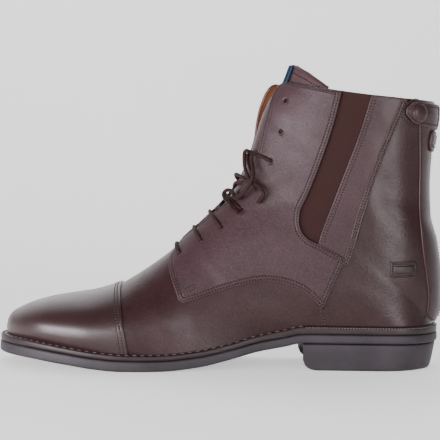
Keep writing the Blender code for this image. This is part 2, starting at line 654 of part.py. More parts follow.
def inset(spots, gap):
    """Outline drawn in by a gap on every side, its corners mitred."""
    area = sum(a.s * b.z - b.s * a.z for a, b in zip(spots, spots[1:] + spots[:1]))
    turn = math.copysign(1.0, area)
    out = []
    for k, spot in enumerate(spots):
        before, after = spots[k - 1], spots[(k + 1) % len(spots)]
        come = Vector((spot.s - before.s, spot.z - before.z)).normalized()
        leave = Vector((after.s - spot.s, after.z - spot.z)).normalized()
        sides = [Vector((-run.y, run.x)) * turn for run in (come, leave)]
        mitre = (sides[0] + sides[1]) * gap / (1 + sides[0].dot(sides[1]))
        out.append(Spot(spot.s + mitre.x, spot.z + mitre.y))
    return out


def facing_arc(row, side):
    """Half gap of the throat, from the lateral facing's traced edge; the medial facing comes nearer."""
    rows, arcs = zip(*sorted(trace(FACING_EDGE, LATERAL, LAYER_GAP + LEATHER)))
    arc = float(np.interp(row, rows, arcs))
    return arc if side == LATERAL else 0.62 * arc


def eyelet_places(side):
    """Row and arc of each eyelet, the medial ones following the medial facing's edge."""
    places = trace(EYELETS, LATERAL, LAYER_GAP + LEATHER)
    if side == LATERAL:
        return places
    return [(row, arc - facing_arc(row, LATERAL) + facing_arc(row, MEDIAL)) for row, arc in places]


def hole_ring(place, side, radius, count=10):
    """Round hole about a place, as places: found from the surface's own steps along row and arc."""
    row, arc = place
    here = LAST.at(row, arc, side)
    row_step = np.linalg.norm(LAST.at(row + 0.1, arc, side) - here) / 0.1
    ring = []
    for k in range(count):
        angle = 2 * math.pi * k / count
        ring.append((row + radius * math.cos(angle) / row_step, arc + radius * math.sin(angle)))
    return ring


def build_quarters(collection):
    """Front quarters with the lace facings, from the throat to the gores and down over the vamp."""
    outer = LAYER_GAP + LEATHER
    for side, label in ((LATERAL, "lateral"), (MEDIAL, "medial")):
        lower = trace(QUARTER_LOWER, side, outer)
        gore_top = LAST.find(Spot(70.6, 181.0), side, outer)
        edge = [(row, facing_arc(row, side)) for row, _ in trace(FACING_EDGE, LATERAL, outer)]
        lower[0] = (lower[0][0], facing_arc(lower[0][0], side))
        top = [
            (COLLAR_ROW - 0.06, gore_top[1]),
            (COLLAR_ROW - 0.04, edge[0][1] + 9.0),
            (COLLAR_ROW - 0.25, edge[0][1] + 3.0),
        ]
        ring = lower + top + edge[1:]
        holes = [hole_ring(place, side, EYELET_DIAMETER / 2) for place in eyelet_places(side)]
        name = f"quarter_{label}"
        panel(name, ring, side, LAYER_GAP, LEATHER, LEATHER_BROWN, collection, holes, (8.0, 6.5))


def build_gores(collection):
    """Elastic gores, sunk in the windows of the upper's wall."""
    for side, label in ((LATERAL, "lateral"), (MEDIAL, "medial")):
        ring = inset(GORE, WINDOW_GAP)
        places = trace(ring, side, -GORE_DEPTH)
        low_offset = -GORE_DEPTH - GORE_THICKNESS
        panel(f"gore_{label}", places, side, low_offset, GORE_THICKNESS, ELASTIC, collection)


def build_seam_strips(collection):
    """Narrow strips over the slanted seam from the collar to behind the gore."""
    for side, label in ((LATERAL, "lateral"), (MEDIAL, "medial")):
        left, right = [], []
        for k, spot in enumerate(SEAM_STRIP):
            before, after = SEAM_STRIP[max(k - 1, 0)], SEAM_STRIP[min(k + 1, len(SEAM_STRIP) - 1)]
            run = Vector((after.s - before.s, after.z - before.z)).normalized()
            reach = STRIP_WIDTH / 2
            left.append(Spot(spot.s + run.y * reach, spot.z - run.x * reach))
            right.append(Spot(spot.s - run.y * reach, spot.z + run.x * reach))
        places = trace(left + right[::-1], side, LAYER_GAP + TRIM_THICKNESS)
        name = f"seam_strip_{label}"
        panel(name, places, side, LAYER_GAP, TRIM_THICKNESS, LEATHER_TRIM, collection, (), (5.0, 9.0))


ZIP_HALF = 3.6
ZIP_TOP = 0.905 * SHAFT_HEIGHT
ZIP_FOOT = 0.179 * SHAFT_HEIGHT
FLY_LIFT = 0.1
FLY_GAP = 0.5


def build_back(collection):
    """Back strips beside the zip, and the zip's tape with its chain."""
    for side, label in ((LATERAL, "lateral"), (MEDIAL, "medial")):
        low = LAYER_GAP + FLY_LIFT
        traced = trace(BACK_SEAM, side, low + TRIM_THICKNESS)
        outer = [(row, LAST.total(row, side) - arc) for row, arc in traced]
        foot = HEEL_BACK_ROW + 0.1
        outer.append((foot, BACK_FLARE))
        rows = np.linspace(outer[0][0], foot, 9)
        inner = [(row, ZIP_HALF + FLY_GAP) for row in rows[::-1]]
        ring = [(row, -side * back) for row, back in outer + inner]
        back_panel(f"back_strip_{label}", ring, low, TRIM_THICKNESS, LEATHER_TRIM, collection)
    top, foot = LAST.row_at_back(ZIP_TOP), LAST.row_at_back(ZIP_FOOT)
    rows = np.linspace(foot, top, 12)
    ring = [(row, ZIP_HALF) for row in rows] + [(row, -ZIP_HALF) for row in rows[::-1]]
    back_panel("zip", ring, LAYER_GAP, ZIP_THICKNESS, CLOTH, collection, (9.0, ZIP_HALF))
    build_slider(collection)


# the strap round the back, and the slider and its pull that hang below it
STRAP_LOW, STRAP_WIDTH = 0.8411 * SHAFT_HEIGHT, 16.4
STRAP_LATERAL, STRAP_MEDIAL = 42.0, 30.0
STRAP_OFFSET = 1.8
STRAP_THICKNESS = 1.6
SNAP_PLACE = 32.5
SNAP_FOOT_RADIUS, SNAP_TOP_RADIUS, SNAP_HEIGHT = 5.6, 3.6, 1.6
SLIDER_DROP = 6.6
SLIDER_SIZE = (1.6, 6.0, 6.4)
SLIDER_GAP = 0.4
PULL_DROP, PULL_LENGTH = 1.4, 13.6
PULL_INNER, PULL_OUTER = 4.6, 16.0


def build_slider(collection):
    """Zip slider below the strap and the leather pull that hangs beside it."""
    row = LAST.row_at_back(STRAP_LOW - SLIDER_DROP)
    lift = LAYER_GAP + ZIP_THICKNESS + SLIDER_GAP + SLIDER_SIZE[0] / 2
    place = world(LAST.around(row, 0.0, lift))
    above = world(LAST.around(row + 0.3, 0.0, lift))
    bpy.ops.mesh.primitive_cube_add(size=1.0, location=place)
    slider = bpy.context.object
    slider.name = "zip_slider"
    slider.scale = [size * MM for size in SLIDER_SIZE]
    slider.rotation_euler = (0.0, math.atan2(above.x - place.x, above.z - place.z), 0.0)
    slider.data.materials.append(material(METAL))
    edge = slider.modifiers.new("edge", "BEVEL")
    edge.width = 0.0004
    edge.segments = 2
    bpy.ops.object.transform_apply(location=False, rotation=False, scale=True)
    move_to(slider, collection)
    top = LAST.row_at_back(STRAP_LOW - PULL_DROP)
    foot = LAST.row_at_back(STRAP_LOW - PULL_DROP - PULL_LENGTH)
    ring = rounded([(top, PULL_INNER), (top, PULL_OUTER), (foot, PULL_OUTER), (foot, PULL_INNER)], 0.4)
    back_panel("zip_pull", ring, STRAP_OFFSET, PULL_THICKNESS, LEATHER_TRIM, collection, (5.0, 4.0))


def build_strap(collection):
    """Snap strap round the back over the zip's top, and its snap."""
    low, high = LAST.row_at_back(STRAP_LOW), LAST.row_at_back(STRAP_LOW + STRAP_WIDTH)
    middle = (low + high) / 2
    ring = [
        (low, -STRAP_MEDIAL), (low, -STRAP_MEDIAL / 2), (low, 0.0), (low, STRAP_LATERAL / 2),
        (low + 0.1, STRAP_LATERAL - 7.0), (low + 0.3, STRAP_LATERAL - 3.0), (middle, STRAP_LATERAL),
        (high - 0.3, STRAP_LATERAL - 2.5), (high, STRAP_LATERAL - 7.0), (high, STRAP_LATERAL / 2),
        (high, 0.0), (high, -STRAP_MEDIAL / 2), (high, -STRAP_MEDIAL),
    ]
    back_panel("strap", ring, STRAP_OFFSET, STRAP_THICKNESS, LEATHER_TRIM, collection, (5.0, 4.5))
    place = world(LAST.around(middle, SNAP_PLACE, STRAP_OFFSET + STRAP_THICKNESS + 0.35))
    normal = (place - world(LAST.around(middle, SNAP_PLACE, 0.0))).normalized()
    bpy.ops.mesh.primitive_cone_add(
        vertices=20, radius1=SNAP_FOOT_RADIUS * MM, radius2=SNAP_TOP_RADIUS * MM, depth=SNAP_HEIGHT * MM,
    )
    snap = bpy.context.object
    snap.name = "snap_cap"
    snap.data.materials.append(material(LEATHER_TRIM))
    snap.rotation_mode = "QUATERNION"
    snap.rotation_quaternion = Vector((0, 0, 1)).rotation_difference(normal)
    snap.location = place + normal * (SNAP_HEIGHT / 2 + 0.5) * MM
    move_to(snap, collection)


def move_to(item, collection):
    """Link an object only to the collection."""
    for old in list(item.users_collection):
        old.objects.unlink(item)
    collection.objects.link(item)


def build_label(collection):
    """Blank stitched tab low on the lateral counter."""
    places = trace(rounded_spots(LABEL, 1.5), LATERAL, LAYER_GAP + LABEL_THICKNESS)
    panel("heel_tab", places, LATERAL, LAYER_GAP, LABEL_THICKNESS, LEATHER_TRIM, collection, (), (5.0, 5.0))


def rounded_spots(spots, reach):
    """Spots with rounded corners."""
    return [Spot(*point) for point in rounded([tuple(spot) for spot in spots], reach)]


TONGUE_OFFSET = -(WALL + TONGUE_GAP)
TONGUE_FOOT_ROW = 10.4
TAB_PLACE = (25.9, 26.7, 7.0)
TONGUE_WIDTH = [(10.4, 15.0), (12.0, 22.0), (16.0, 31.0), (20.0, 36.0), (27.0, 38.0)]
TONGUE_TOP = [(0.0, 26.86), (0.3, 26.80), (0.6, 26.60), (0.85, 26.35), (1.0, 26.15)]


def build_tongue(collection):
    """Tongue under the facings, from the vamp to above the collar, with its plain woven tab."""
    columns = np.linspace(-1, 1, 13)
    rows = np.linspace(0, 1, 19)
    points = []
    for v in rows:
        for u in columns:
            top = float(np.interp(abs(u), *zip(*TONGUE_TOP)))
            row = TONGUE_FOOT_ROW + v * (top - TONGUE_FOOT_ROW)
            arc = abs(u) * float(np.interp(row, *zip(*TONGUE_WIDTH)))
            side = LATERAL if u <= 0 else MEDIAL
            points.append(world(LAST.at(row, arc, side, TONGUE_OFFSET)))
    faces = grid_faces(len(rows), len(columns))
    sheet("tongue", points, faces, TONGUE_THICKNESS, LEATHER_BROWN, collection)
    low, high, half = TAB_PLACE
    tab = []
    for row in np.linspace(low, high, 5):
        for arc in np.linspace(-half, half, 5):
            side = LATERAL if arc <= 0 else MEDIAL
            tab.append(world(LAST.at(row, abs(arc), side, TONGUE_OFFSET + TAB_GAP + TAB_THICKNESS)))
    sheet("tongue_tab", tab, grid_faces(5, 5), TAB_THICKNESS, CLOTH, collection)


def loft(name, rings, finish, collection):
    """Closed body through rings of equal count, ends filled."""
    count = len(rings[0])
    points = [world(point) for ring in rings for point in ring]
    faces = []
    for i in range(len(rings) - 1):
        for j in range(count):
            k = (j + 1) % count
            faces.append((i * count + j, i * count + k, (i + 1) * count + k, (i + 1) * count + j))
    faces.append(tuple(range(count)))
    faces.append(tuple(range((len(rings) - 1) * count, len(rings) * count)))
    return make_object(name, mesh_from(name, points, faces), finish, collection)


def stations(start, end, tight, count):
    """Places along the length, closer together at both round ends."""
    middle = np.linspace(start + tight, end - tight, count)
    steps = tight * (1 - np.cos(np.linspace(0.06, math.pi / 2, 8)))
    kept = [HEEL_BREAST + 0.8, *FOREFOOT_FLAT]
    return np.sort(np.concatenate([start + steps[:-1], middle, kept, (end - steps[:-1])[::-1]]))


def plate(name, bottom, top, width, ends, edges, finish, collection):
    """Layer of the sole: a section at each station, its side bent in by the two edge radii."""
    low_edge, high_edge = edges
    rings = []
    for s in stations(*ends, 24.0, 16):
        wide = {side: float(width(side, s)) for side in (LATERAL, MEDIAL)}
        z0, z1 = float(bottom(s)), float(top(s))
        ring = []
        for side, order in ((LATERAL, 1), (MEDIAL, -1)):
            w = wide[side]
            a, b = min(low_edge, 0.5 * w), min(high_edge, 0.5 * w)
            corner = [
                (w - a, z0), (w - 0.3 * a, z0 + 0.3 * low_edge), (w, z0 + low_edge),
                (w, z1 - high_edge), (w - 0.3 * b, z1 - 0.3 * high_edge), (w - b, z1),
            ]
            ring += [(s, side * y, z) for y, z in corner[::order]]
        rings.append(ring)
    return loft(name, rings, finish, collection)


def build_sole(collection):
    """Outsole, welt layer, heel and insole."""
    plate(
        "outsole", underside, lambda s: seam(s) - LAYER_HALF_GAP, lambda side, s: half_width(side, s),
        (1.0, LENGTH), (1.6, 0.6), RUBBER, collection,
    )
    plate(
        "welt", lambda s: seam(s) + LAYER_HALF_GAP, rim,
        lambda side, s: half_width(side, s, 0.12, 0.4, 0.3),
        (1.35, LENGTH - 0.45), (0.5, 0.9), WELT_BROWN, collection,
    )
    inner = WALL + INSOLE_GAP
    plate(
        "insole", lambda s: rim(s) + INSOLE_LIFT, lambda s: rim(s) + INSOLE_TOP,
        lambda side, s: half_width(side, s, 1.0, WELT_LEDGE_TOE + inner, WELT_LEDGE_HEEL + inner, inner),
        (1 + WELT_LEDGE_HEEL + inner, LENGTH - WELT_LEDGE_TOE - inner), (0.4, 0.4), LINING, collection,
    )
    build_heel(collection)


# the heel block from the floor up: height, how far its back and its breast stand in, how far its side does
HeelRow = namedtuple("HeelRow", "height back breast drawn_in")
HEEL = [
    HeelRow(0.0, 7.6, 10.5, 3.2),
    HeelRow(0.9, 6.0, 6.0, 2.2),
    HeelRow(3.6, 4.9, 1.7, 1.9),
    HeelRow(7.0, 4.2, 0.2, 1.6),
    HeelRow(16.8, 2.5, 0.0, 0.6),
    HeelRow(17.6, 3.0, 0.4, 1.0),
]


def build_heel(collection):
    """Low block heel with a round lower edge at its breast."""
    rings = []
    for level in HEEL:
        back, breast = level.back, HEEL_BREAST - level.breast
        shares = 1 - np.cos(np.linspace(0.09, math.pi / 2, 11))
        along = back + shares * (breast - back)
        along = np.append(along[:-1], breast - 0.6)
        ring = []
        for side, order in ((LATERAL, 1), (MEDIAL, -1)):
            widths = [float(half_width(side, s - back + 1.0)) - level.drawn_in for s in along]
            widths = [max(w, 1.0) for w in widths]
            points = [(s, side * w, level.height) for s, w in zip(along, widths)]
            points.append((breast, side * (widths[-1] - 1.2), level.height))
            ring += points[::order]
        rings.append(ring)
    loft("heel", rings, RUBBER, collection)


def tube(name, path, diameter, finish, collection):
    """Round cord along a path of world points, ends filled."""
    curve = bpy.data.curves.new(name, "CURVE")
    curve.dimensions = "3D"
    curve.bevel_depth = diameter * MM / 2
    curve.bevel_resolution = 2
    curve.use_fill_caps = True
    spline = curve.splines.new("POLY")
    spline.points.add(len(path) - 1)
    for point, place in zip(spline.points, path):
        point.co = (*place, 1.0)
    made = bpy.data.objects.new(name, curve)
    curve.materials.append(material(finish))
    collection.objects.link(made)
    return made


def build_laces(collection):
    """Lace bars over the throat, one at each laced pair of eyelets."""
    lift = LAYER_GAP + LEATHER + LACE_GAP + LACE_DIAMETER / 2
    lateral, medial = eyelet_places(LATERAL), eyelet_places(MEDIAL)
    for k in range(LACED):
        path = []
        (row_a, arc_a), (row_b, arc_b) = lateral[k], medial[k]
        for u in np.linspace(0, 1, 9):
            row = row_a + u * (row_b - row_a)
            arc = arc_a - u * (arc_a + arc_b)
            side = LATERAL if arc >= 0 else MEDIAL
            path.append(world(LAST.at(row, abs(arc), side, lift)))
        tube(f"lace_bar_{k + 1}", path, LACE_DIAMETER, CORD, collection)


def cord_route(points):
    """Smooth curve through a cord's own points, read at an even pitch."""
    knots = []
    for point in points:
        row, arc = LAST.find(Spot(point.s, point.z), LATERAL, point.lift)
        knots.append(Vector(LAST.at(row, arc, LATERAL, point.lift)))
    ends = [2 * knots[0] - knots[1], *knots, 2 * knots[-1] - knots[-2]]
    route = []
    for a, b, c, d in zip(ends, ends[1:], ends[2:], ends[3:]):
        steps = max(2, math.ceil((c - b).length / CORD_PITCH))
        for k in range(steps):
            u = k / steps
            squared = (2 * a - 5 * b + 4 * c - d) * u**2
            bend = 2 * b + (c - a) * u + squared + (3 * b - a - 3 * c + d) * u**3
            route.append(world(bend / 2))
    route.append(world(knots[-1]))
    return route


def build_tie(collection):
    """Loops and ends of the loosely tied lace."""
    for name, points in LACE_CORDS.items():
        tube(name, cord_route(points), LACE_DIAMETER, CORD, collection)


def main():
    """Build every piece of the boot."""
    clear_scene()
    boot = new_collection("jodhpur_boot")
    cutters = new_collection("cutters")
    build_sole(boot)
    build_upper(boot, cutters)
    build_toe_cap(boot)
    build_quarters(boot)
    build_gores(boot)
    build_seam_strips(boot)
    build_back(boot)
    build_strap(boot)
    build_label(boot)
    build_tongue(boot)
    build_laces(boot)
    build_tie(boot)


main()
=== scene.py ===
"""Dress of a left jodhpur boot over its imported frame: leather, elastic, zip, laces, welted sole and studio.

Sizes are millimetres in the boot's own side view: s runs forward from the heel's back, z up from the floor.
The upper is a fan of sections, and every leather piece is that one surface with another offset, cut to its
own outline. A place on the surface is (along, across): along is the length run over the sections at their
middle, across is the arc from the front line, or from the back seam for pieces that wrap the back.
"""

import json
import logging
import math
from dataclasses import dataclass, field
from enum import Enum
from typing import Callable, Sequence

import bmesh
import bpy
import numpy as np
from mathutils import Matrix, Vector
from mathutils.geometry import delaunay_2d_cdt

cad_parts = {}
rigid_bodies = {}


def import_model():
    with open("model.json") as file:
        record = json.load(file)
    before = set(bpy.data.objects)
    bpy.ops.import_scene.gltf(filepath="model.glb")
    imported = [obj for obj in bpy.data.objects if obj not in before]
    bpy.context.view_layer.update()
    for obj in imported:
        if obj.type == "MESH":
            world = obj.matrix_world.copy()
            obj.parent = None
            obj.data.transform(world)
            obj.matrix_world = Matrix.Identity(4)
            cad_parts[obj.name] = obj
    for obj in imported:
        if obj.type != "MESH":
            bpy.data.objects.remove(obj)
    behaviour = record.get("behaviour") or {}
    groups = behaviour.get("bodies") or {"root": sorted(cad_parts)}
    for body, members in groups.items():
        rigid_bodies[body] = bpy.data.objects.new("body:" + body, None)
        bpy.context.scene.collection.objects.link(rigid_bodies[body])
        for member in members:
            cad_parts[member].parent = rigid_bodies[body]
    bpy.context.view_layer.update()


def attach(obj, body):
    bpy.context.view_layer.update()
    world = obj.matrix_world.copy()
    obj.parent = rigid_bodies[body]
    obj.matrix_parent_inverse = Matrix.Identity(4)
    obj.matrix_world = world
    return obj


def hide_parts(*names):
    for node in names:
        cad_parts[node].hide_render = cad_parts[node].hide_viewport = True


LOG = logging.getLogger("boot")
Array = np.ndarray
MM = 0.001

LENGTH = 297.0
BALL_WIDTH = 102.0
SHAFT_HEIGHT = 190.0
HEEL_MID = 46.0
WALL = 1.8
LAYER_GAP = 0.45
LEATHER = 1.1
OVER = LAYER_GAP + LEATHER
LACE = 2.5
COLLAR_ROW = 26.0

# along lateral medial ledge underside seam rim
SOLE = np.array([
    (0.003, 0.324, 0.324, 0.021, 0.096, 0.128, 0.156), (0.135, 0.333, 0.328, 0.021, 0.096, 0.128, 0.156),
    (0.300, 0.338, 0.304, 0.023, 0.096, 0.128, 0.156), (0.318, 0.340, 0.304, 0.024, 0.095, 0.127, 0.154),
    (0.355, 0.345, 0.304, 0.026, 0.083, 0.116, 0.141), (0.410, 0.352, 0.311, 0.029, 0.066, 0.099, 0.122),
    (0.477, 0.390, 0.345, 0.033, 0.037, 0.071, 0.092), (0.545, 0.432, 0.396, 0.037, 0.013, 0.049, 0.069),
    (0.625, 0.478, 0.455, 0.040, 0.001, 0.038, 0.057), (0.672, 0.496, 0.480, 0.042, 0.000, 0.037, 0.056),
    (0.715, 0.500, 0.490, 0.043, 0.000, 0.038, 0.057), (0.770, 0.492, 0.492, 0.045, 0.006, 0.044, 0.064),
    (0.842, 0.461, 0.480, 0.048, 0.020, 0.058, 0.079), (0.926, 0.402, 0.451, 0.052, 0.032, 0.070, 0.093),
    (1.000, 0.353, 0.412, 0.055, 0.037, 0.075, 0.100),
])
SOLE_COLUMNS = ("along", "lateral", "medial", "ledge", "underside", "seam", "rim")

# foot_s foot_z front_s front_z lateral medial peak back_round front_round
SECTIONS = np.array([
    (0.9775, 0.103, 0.9805, 0.126, 0.300, 0.350, 0.40, 2.0, 2.6),
    (0.9760, 0.103, 0.9780, 0.147, 0.304, 0.354, 0.36, 2.0, 2.6),
    (0.9690, 0.103, 0.9700, 0.166, 0.312, 0.362, 0.33, 2.0, 2.6),
    (0.9560, 0.101, 0.9530, 0.182, 0.328, 0.378, 0.30, 2.0, 2.7),
    (0.9330, 0.098, 0.9280, 0.200, 0.354, 0.404, 0.28, 2.0, 2.7),
    (0.8960, 0.093, 0.8910, 0.218, 0.390, 0.428, 0.27, 2.0, 2.6),
    (0.8420, 0.084, 0.8380, 0.234, 0.428, 0.447, 0.26, 2.0, 2.5),
    (0.7810, 0.073, 0.7850, 0.248, 0.461, 0.461, 0.26, 2.0, 2.4),
    (0.6970, 0.060, 0.7230, 0.280, 0.470, 0.455, 0.27, 2.0, 2.3),
    (0.6430, 0.059, 0.6850, 0.316, 0.453, 0.426, 0.28, 2.0, 2.2),
    (0.5860, 0.067, 0.6520, 0.352, 0.421, 0.388, 0.29, 2.0, 2.2),
    (0.5320, 0.081, 0.6180, 0.392, 0.392, 0.356, 0.30, 2.0, 2.2),
    (0.4650, 0.105, 0.5830, 0.442, 0.370, 0.335, 0.31, 2.0, 2.3),
    (0.3840, 0.134, 0.5440, 0.503, 0.353, 0.325, 0.32, 2.0, 2.4),
    (0.2900, 0.157, 0.5080, 0.563, 0.343, 0.323, 0.33, 2.1, 2.5),
    (0.1850, 0.157, 0.4800, 0.624, 0.338, 0.327, 0.35, 2.2, 2.6),
    (0.0940, 0.157, 0.4610, 0.679, 0.333, 0.328, 0.37, 2.3, 2.6),
    (0.0340, 0.157, 0.4490, 0.726, 0.331, 0.328, 0.39, 2.4, 2.6),
    (0.0125, 0.159, 0.4410, 0.768, 0.328, 0.325, 0.41, 2.4, 2.6),
    (-0.001, 0.232, 0.4320, 0.816, 0.325, 0.323, 0.42, 2.4, 2.6),
    (0.0010, 0.326, 0.4240, 0.861, 0.323, 0.321, 0.43, 2.4, 2.6),
    (0.0110, 0.442, 0.4150, 0.900, 0.323, 0.321, 0.44, 2.4, 2.5),
    (0.0280, 0.542, 0.4060, 0.934, 0.326, 0.323, 0.45, 2.4, 2.5),
    (0.0310, 0.658, 0.3960, 0.961, 0.333, 0.328, 0.45, 2.4, 2.4),
    (0.0270, 0.774, 0.3860, 0.979, 0.338, 0.333, 0.45, 2.4, 2.4),
    (0.0200, 0.868, 0.3770, 0.991, 0.343, 0.338, 0.45, 2.4, 2.4),
    (0.0180, 0.938, 0.3710, 1.001, 0.346, 0.341, 0.45, 2.4, 2.4),
    (0.0180, 1.053, 0.3510, 1.084, 0.348, 0.343, 0.45, 2.4, 2.4),
])
SECTION_COLUMNS = (
    "foot_s", "foot_z", "front_s", "front_z", "lateral", "medial", "peak", "back_round", "front_round",
)
CAP_ROW, HEEL_BACK_ROW = 8, 18

# soft troughs and ridges of the worn-in leather: place, direction, half length, half width, height
CREASES = np.array([
    (199.0, 44.0, 0.8, 0.9, 15.0, 5.0, -0.55), (189.0, 37.0, 0.9, 0.8, 16.0, 6.0, 0.55),
    (207.0, 53.0, 0.7, 1.0, 12.0, 4.5, 0.35), (135.0, 49.0, 1.0, -0.2, 14.0, 4.5, 0.55),
    (118.0, 48.0, 1.0, 0.1, 15.0, 4.5, -0.45), (39.0, 118.0, 0.3, 1.0, 17.0, 8.0, -0.90),
    (52.0, 108.0, 0.4, 1.0, 20.0, 6.0, 0.45), (28.0, 88.0, 1.0, 0.5, 12.0, 8.0, 0.40),
    (104.0, 120.0, 1.0, -0.5, 18.0, 6.0, 0.45), (112.0, 108.0, 1.0, -0.6, 16.0, 5.0, -0.40),
    (128.0, 86.0, 1.0, -0.3, 20.0, 7.0, 0.35), (60.0, 52.0, 1.0, 0.2, 18.0, 7.0, 0.35),
    (44.0, 150.0, 0.4, 1.0, 18.0, 6.0, -0.35), (156.0, 62.0, 0.7, 0.8, 14.0, 5.0, -0.35),
])

QUARTER_FRONT = [(178.6, 79.0), (182.1, 73.8), (182.6, 68.0), (180.8, 60.9), (177.2, 51.8), (174.9, 46.2)]
QUARTER_LOWER = [
    (171.6, 44.4), (162.1, 47.4), (148.9, 52.1), (135.7, 56.1), (121.2, 58.9), (104.6, 57.3), (92.0, 51.5),
    (85.2, 45.1), (81.2, 40.1),
]
QUARTER_REAR = [(81.2, 40.1), (74.2, 56.9), (66.5, 74.3)]
VAMP_END = [(81.4, 40.6), (79.4, 36.1), (78.0, 31.7), (77.2, 27.6)]
QUARTER_TOP = [(66.5, 74.3), (75.0, 78.6), (83.8, 83.4)]
GORE_FRONT = [
    (83.8, 83.4), (90.9, 86.7), (95.2, 90.9), (97.2, 97.0), (96.8, 104.6), (92.2, 115.2), (84.4, 135.9),
    (76.9, 159.2), (71.6, 181.6), (70.9, 185.4),
]
GORE_REAR = [
    (50.4, 186.4), (51.6, 181.6), (58.9, 156.0), (69.3, 127.0), (77.0, 105.8), (83.8, 86.0), (84.6, 82.0),
]
SEAM_LINE = [(28.4, 183.0), (30.3, 177.6), (39.0, 156.0), (48.4, 131.5), (57.5, 103.0), (65.0, 76.0),
             (67.4, 70.0)]
BACK_SEAM = [(19.0, 172.0), (18.2, 158.0), (17.0, 135.0), (16.8, 112.6), (15.1, 86.3), (10.9, 60.1),
             (9.4, 50.3)]
COUNTER_FLARE = [(3.0, 51.0), (5.5, 44.5), (9.0, 38.5), (12.6, 33.5)]
LABEL = [(36.9, 72.6), (19.1, 72.9), (18.9, 61.9), (36.7, 61.6)]
FACING = np.array([
    (12.21, 3.5), (12.89, 9.0), (13.61, 10.6), (14.19, 12.8), (14.98, 15.3), (16.11, 17.1), (17.11, 17.3),
    (18.74, 17.7), (20.32, 16.5), (21.9, 15.0), (22.98, 13.0), (24.9, 11.6),
])
EYELETS = np.array([
    (11.59, 21.1), (12.63, 23.8), (13.56, 27.0), (14.68, 28.1), (16.11, 27.6), (18.46, 30.5), (20.6, 31.1),
    (23.09, 26.0),
])
MEDIAL_FACING = 0.62
LACED = 6
EYELET_RADIUS = 1.8
# rows by which each bar's far end sits lower, its height over the quarter, and its sag over the throat
FAR_DROP = (0.0, 0.0, 0.0, 0.1, 0.5, 1.5)
BAR_LIFT, BAR_SAG = 2.35, 1.2
# row, and arc past the facing's edge, of the rounded top corners and of the stitch rows that turn round them
NEAR_CORNER = ((25.95, 9.5), (25.93, 6.2), (25.8, 3.2), (25.5, 1.2), (25.15, 0.25))
FAR_CORNER = ((25.95, 23.0), (25.85, 16.0), (25.5, 9.0), (24.95, 4.2), (24.2, 1.2))
NEAR_BOW = ((25.7, 5.0), (25.55, 3.4), (25.2, 1.8))
FAR_BOW = ((25.7, 23.0), (25.6, 16.6), (25.2, 9.9), (24.65, 5.4), (23.95, 2.7))
THROAT = np.array([(0, 14.0), (8, 20.0), (11, 21.0), (14, 27.0), (18, 32.0), (26, 33.0)])
TONGUE_WIDTH = np.array([(10.4, 15.0), (12.0, 22.0), (16.0, 31.0), (20.0, 40.0), (27.0, 48.0)])
TONGUE_TOP = np.array([(0.0, 26.86), (0.3, 26.80), (0.6, 26.60), (0.85, 26.35), (1.0, 26.15)])
TONGUE_OFFSET = -(WALL + 1.0)

# s z lift of the loose tie's two cords on the lateral side
TIE_END = np.array([
    (130.4, 143.2, 5.6), (132.2, 144.0, 6.4), (133.4, 142.0, 6.6), (133.4, 136.7, 6.4), (132.8, 131.8, 6.4),
    (130.9, 126.8, 6.4), (129.2, 123.6, 6.4), (126.0, 122.0, 6.4), (122.6, 119.1, 6.5), (120.8, 116.1, 6.5),
    (121.8, 113.2, 5.6), (124.2, 109.8, 3.7),
])
TIE_LOOP = np.array([
    (137.0, 103.2, 5.6), (141.0, 105.6, 5.7), (142.6, 108.6, 5.9), (146.0, 112.0, 6.2), (146.8, 115.3, 6.4),
    (144.3, 117.6, 6.4), (140.9, 116.4, 6.2), (139.6, 112.6, 5.9), (136.4, 113.6, 6.2), (133.0, 117.6, 7.4),
    (130.2, 121.6, 9.0), (128.4, 125.6, 9.3), (127.6, 129.6, 8.2), (128.0, 134.2, 6.6), (128.8, 138.2, 6.4),
    (128.4, 141.8, 6.3),
])


class Lay(Enum):
    """Part of the upper that a flat piece is laid on; the value is the sign of its side."""

    LATERAL = -1
    MEDIAL = 1
    BACK = 0


def smooth(x: Array, xs: Array, ys: Array) -> Array:
    """Monotone cubic through a table: cubic pieces whose end slopes are weighted harmonic means.

    Args:
        x: where to read.
        xs: the table's places, rising.
        ys: the table's values.

    Returns:
        The values at x.
    """
    x = np.clip(np.asarray(x, float), xs[0], xs[-1])
    step = np.diff(xs)
    rise = np.diff(ys) / step
    slope = np.concatenate([rise[:1], np.zeros(len(rise) - 1), rise[-1:]])
    same = rise[:-1] * rise[1:] > 0
    before, after = 2 * step[1:] + step[:-1], step[1:] + 2 * step[:-1]
    with np.errstate(divide="ignore", invalid="ignore"):
        mean = (before + after) / (before / rise[:-1] + after / rise[1:])
    slope[1:-1] = np.where(same, mean, 0.0)
    i = np.clip(np.searchsorted(xs, x) - 1, 0, len(xs) - 2)
    h = step[i]
    u = (x - xs[i]) / h
    start = (1 + 2 * u) * (1 - u) ** 2 * ys[i] + u * (1 - u) ** 2 * h * slope[i]
    return start + u**2 * (3 - 2 * u) * ys[i + 1] + u**2 * (u - 1) * h * slope[i + 1]


def even(points: Array, pitch: float) -> Array:
    """Points at an even pitch along a polyline.

    Args:
        points: the polyline, one point a row.
        pitch: the wanted spacing.

    Returns:
        The new points, ends kept.
    """
    run = np.concatenate([[0.0], np.cumsum(np.linalg.norm(np.diff(points, axis=0), axis=1))])
    places = np.linspace(0.0, run[-1], max(2, int(math.ceil(run[-1] / pitch)) + 1))
    return np.stack([np.interp(places, run, points[:, k]) for k in range(points.shape[1])], axis=1)


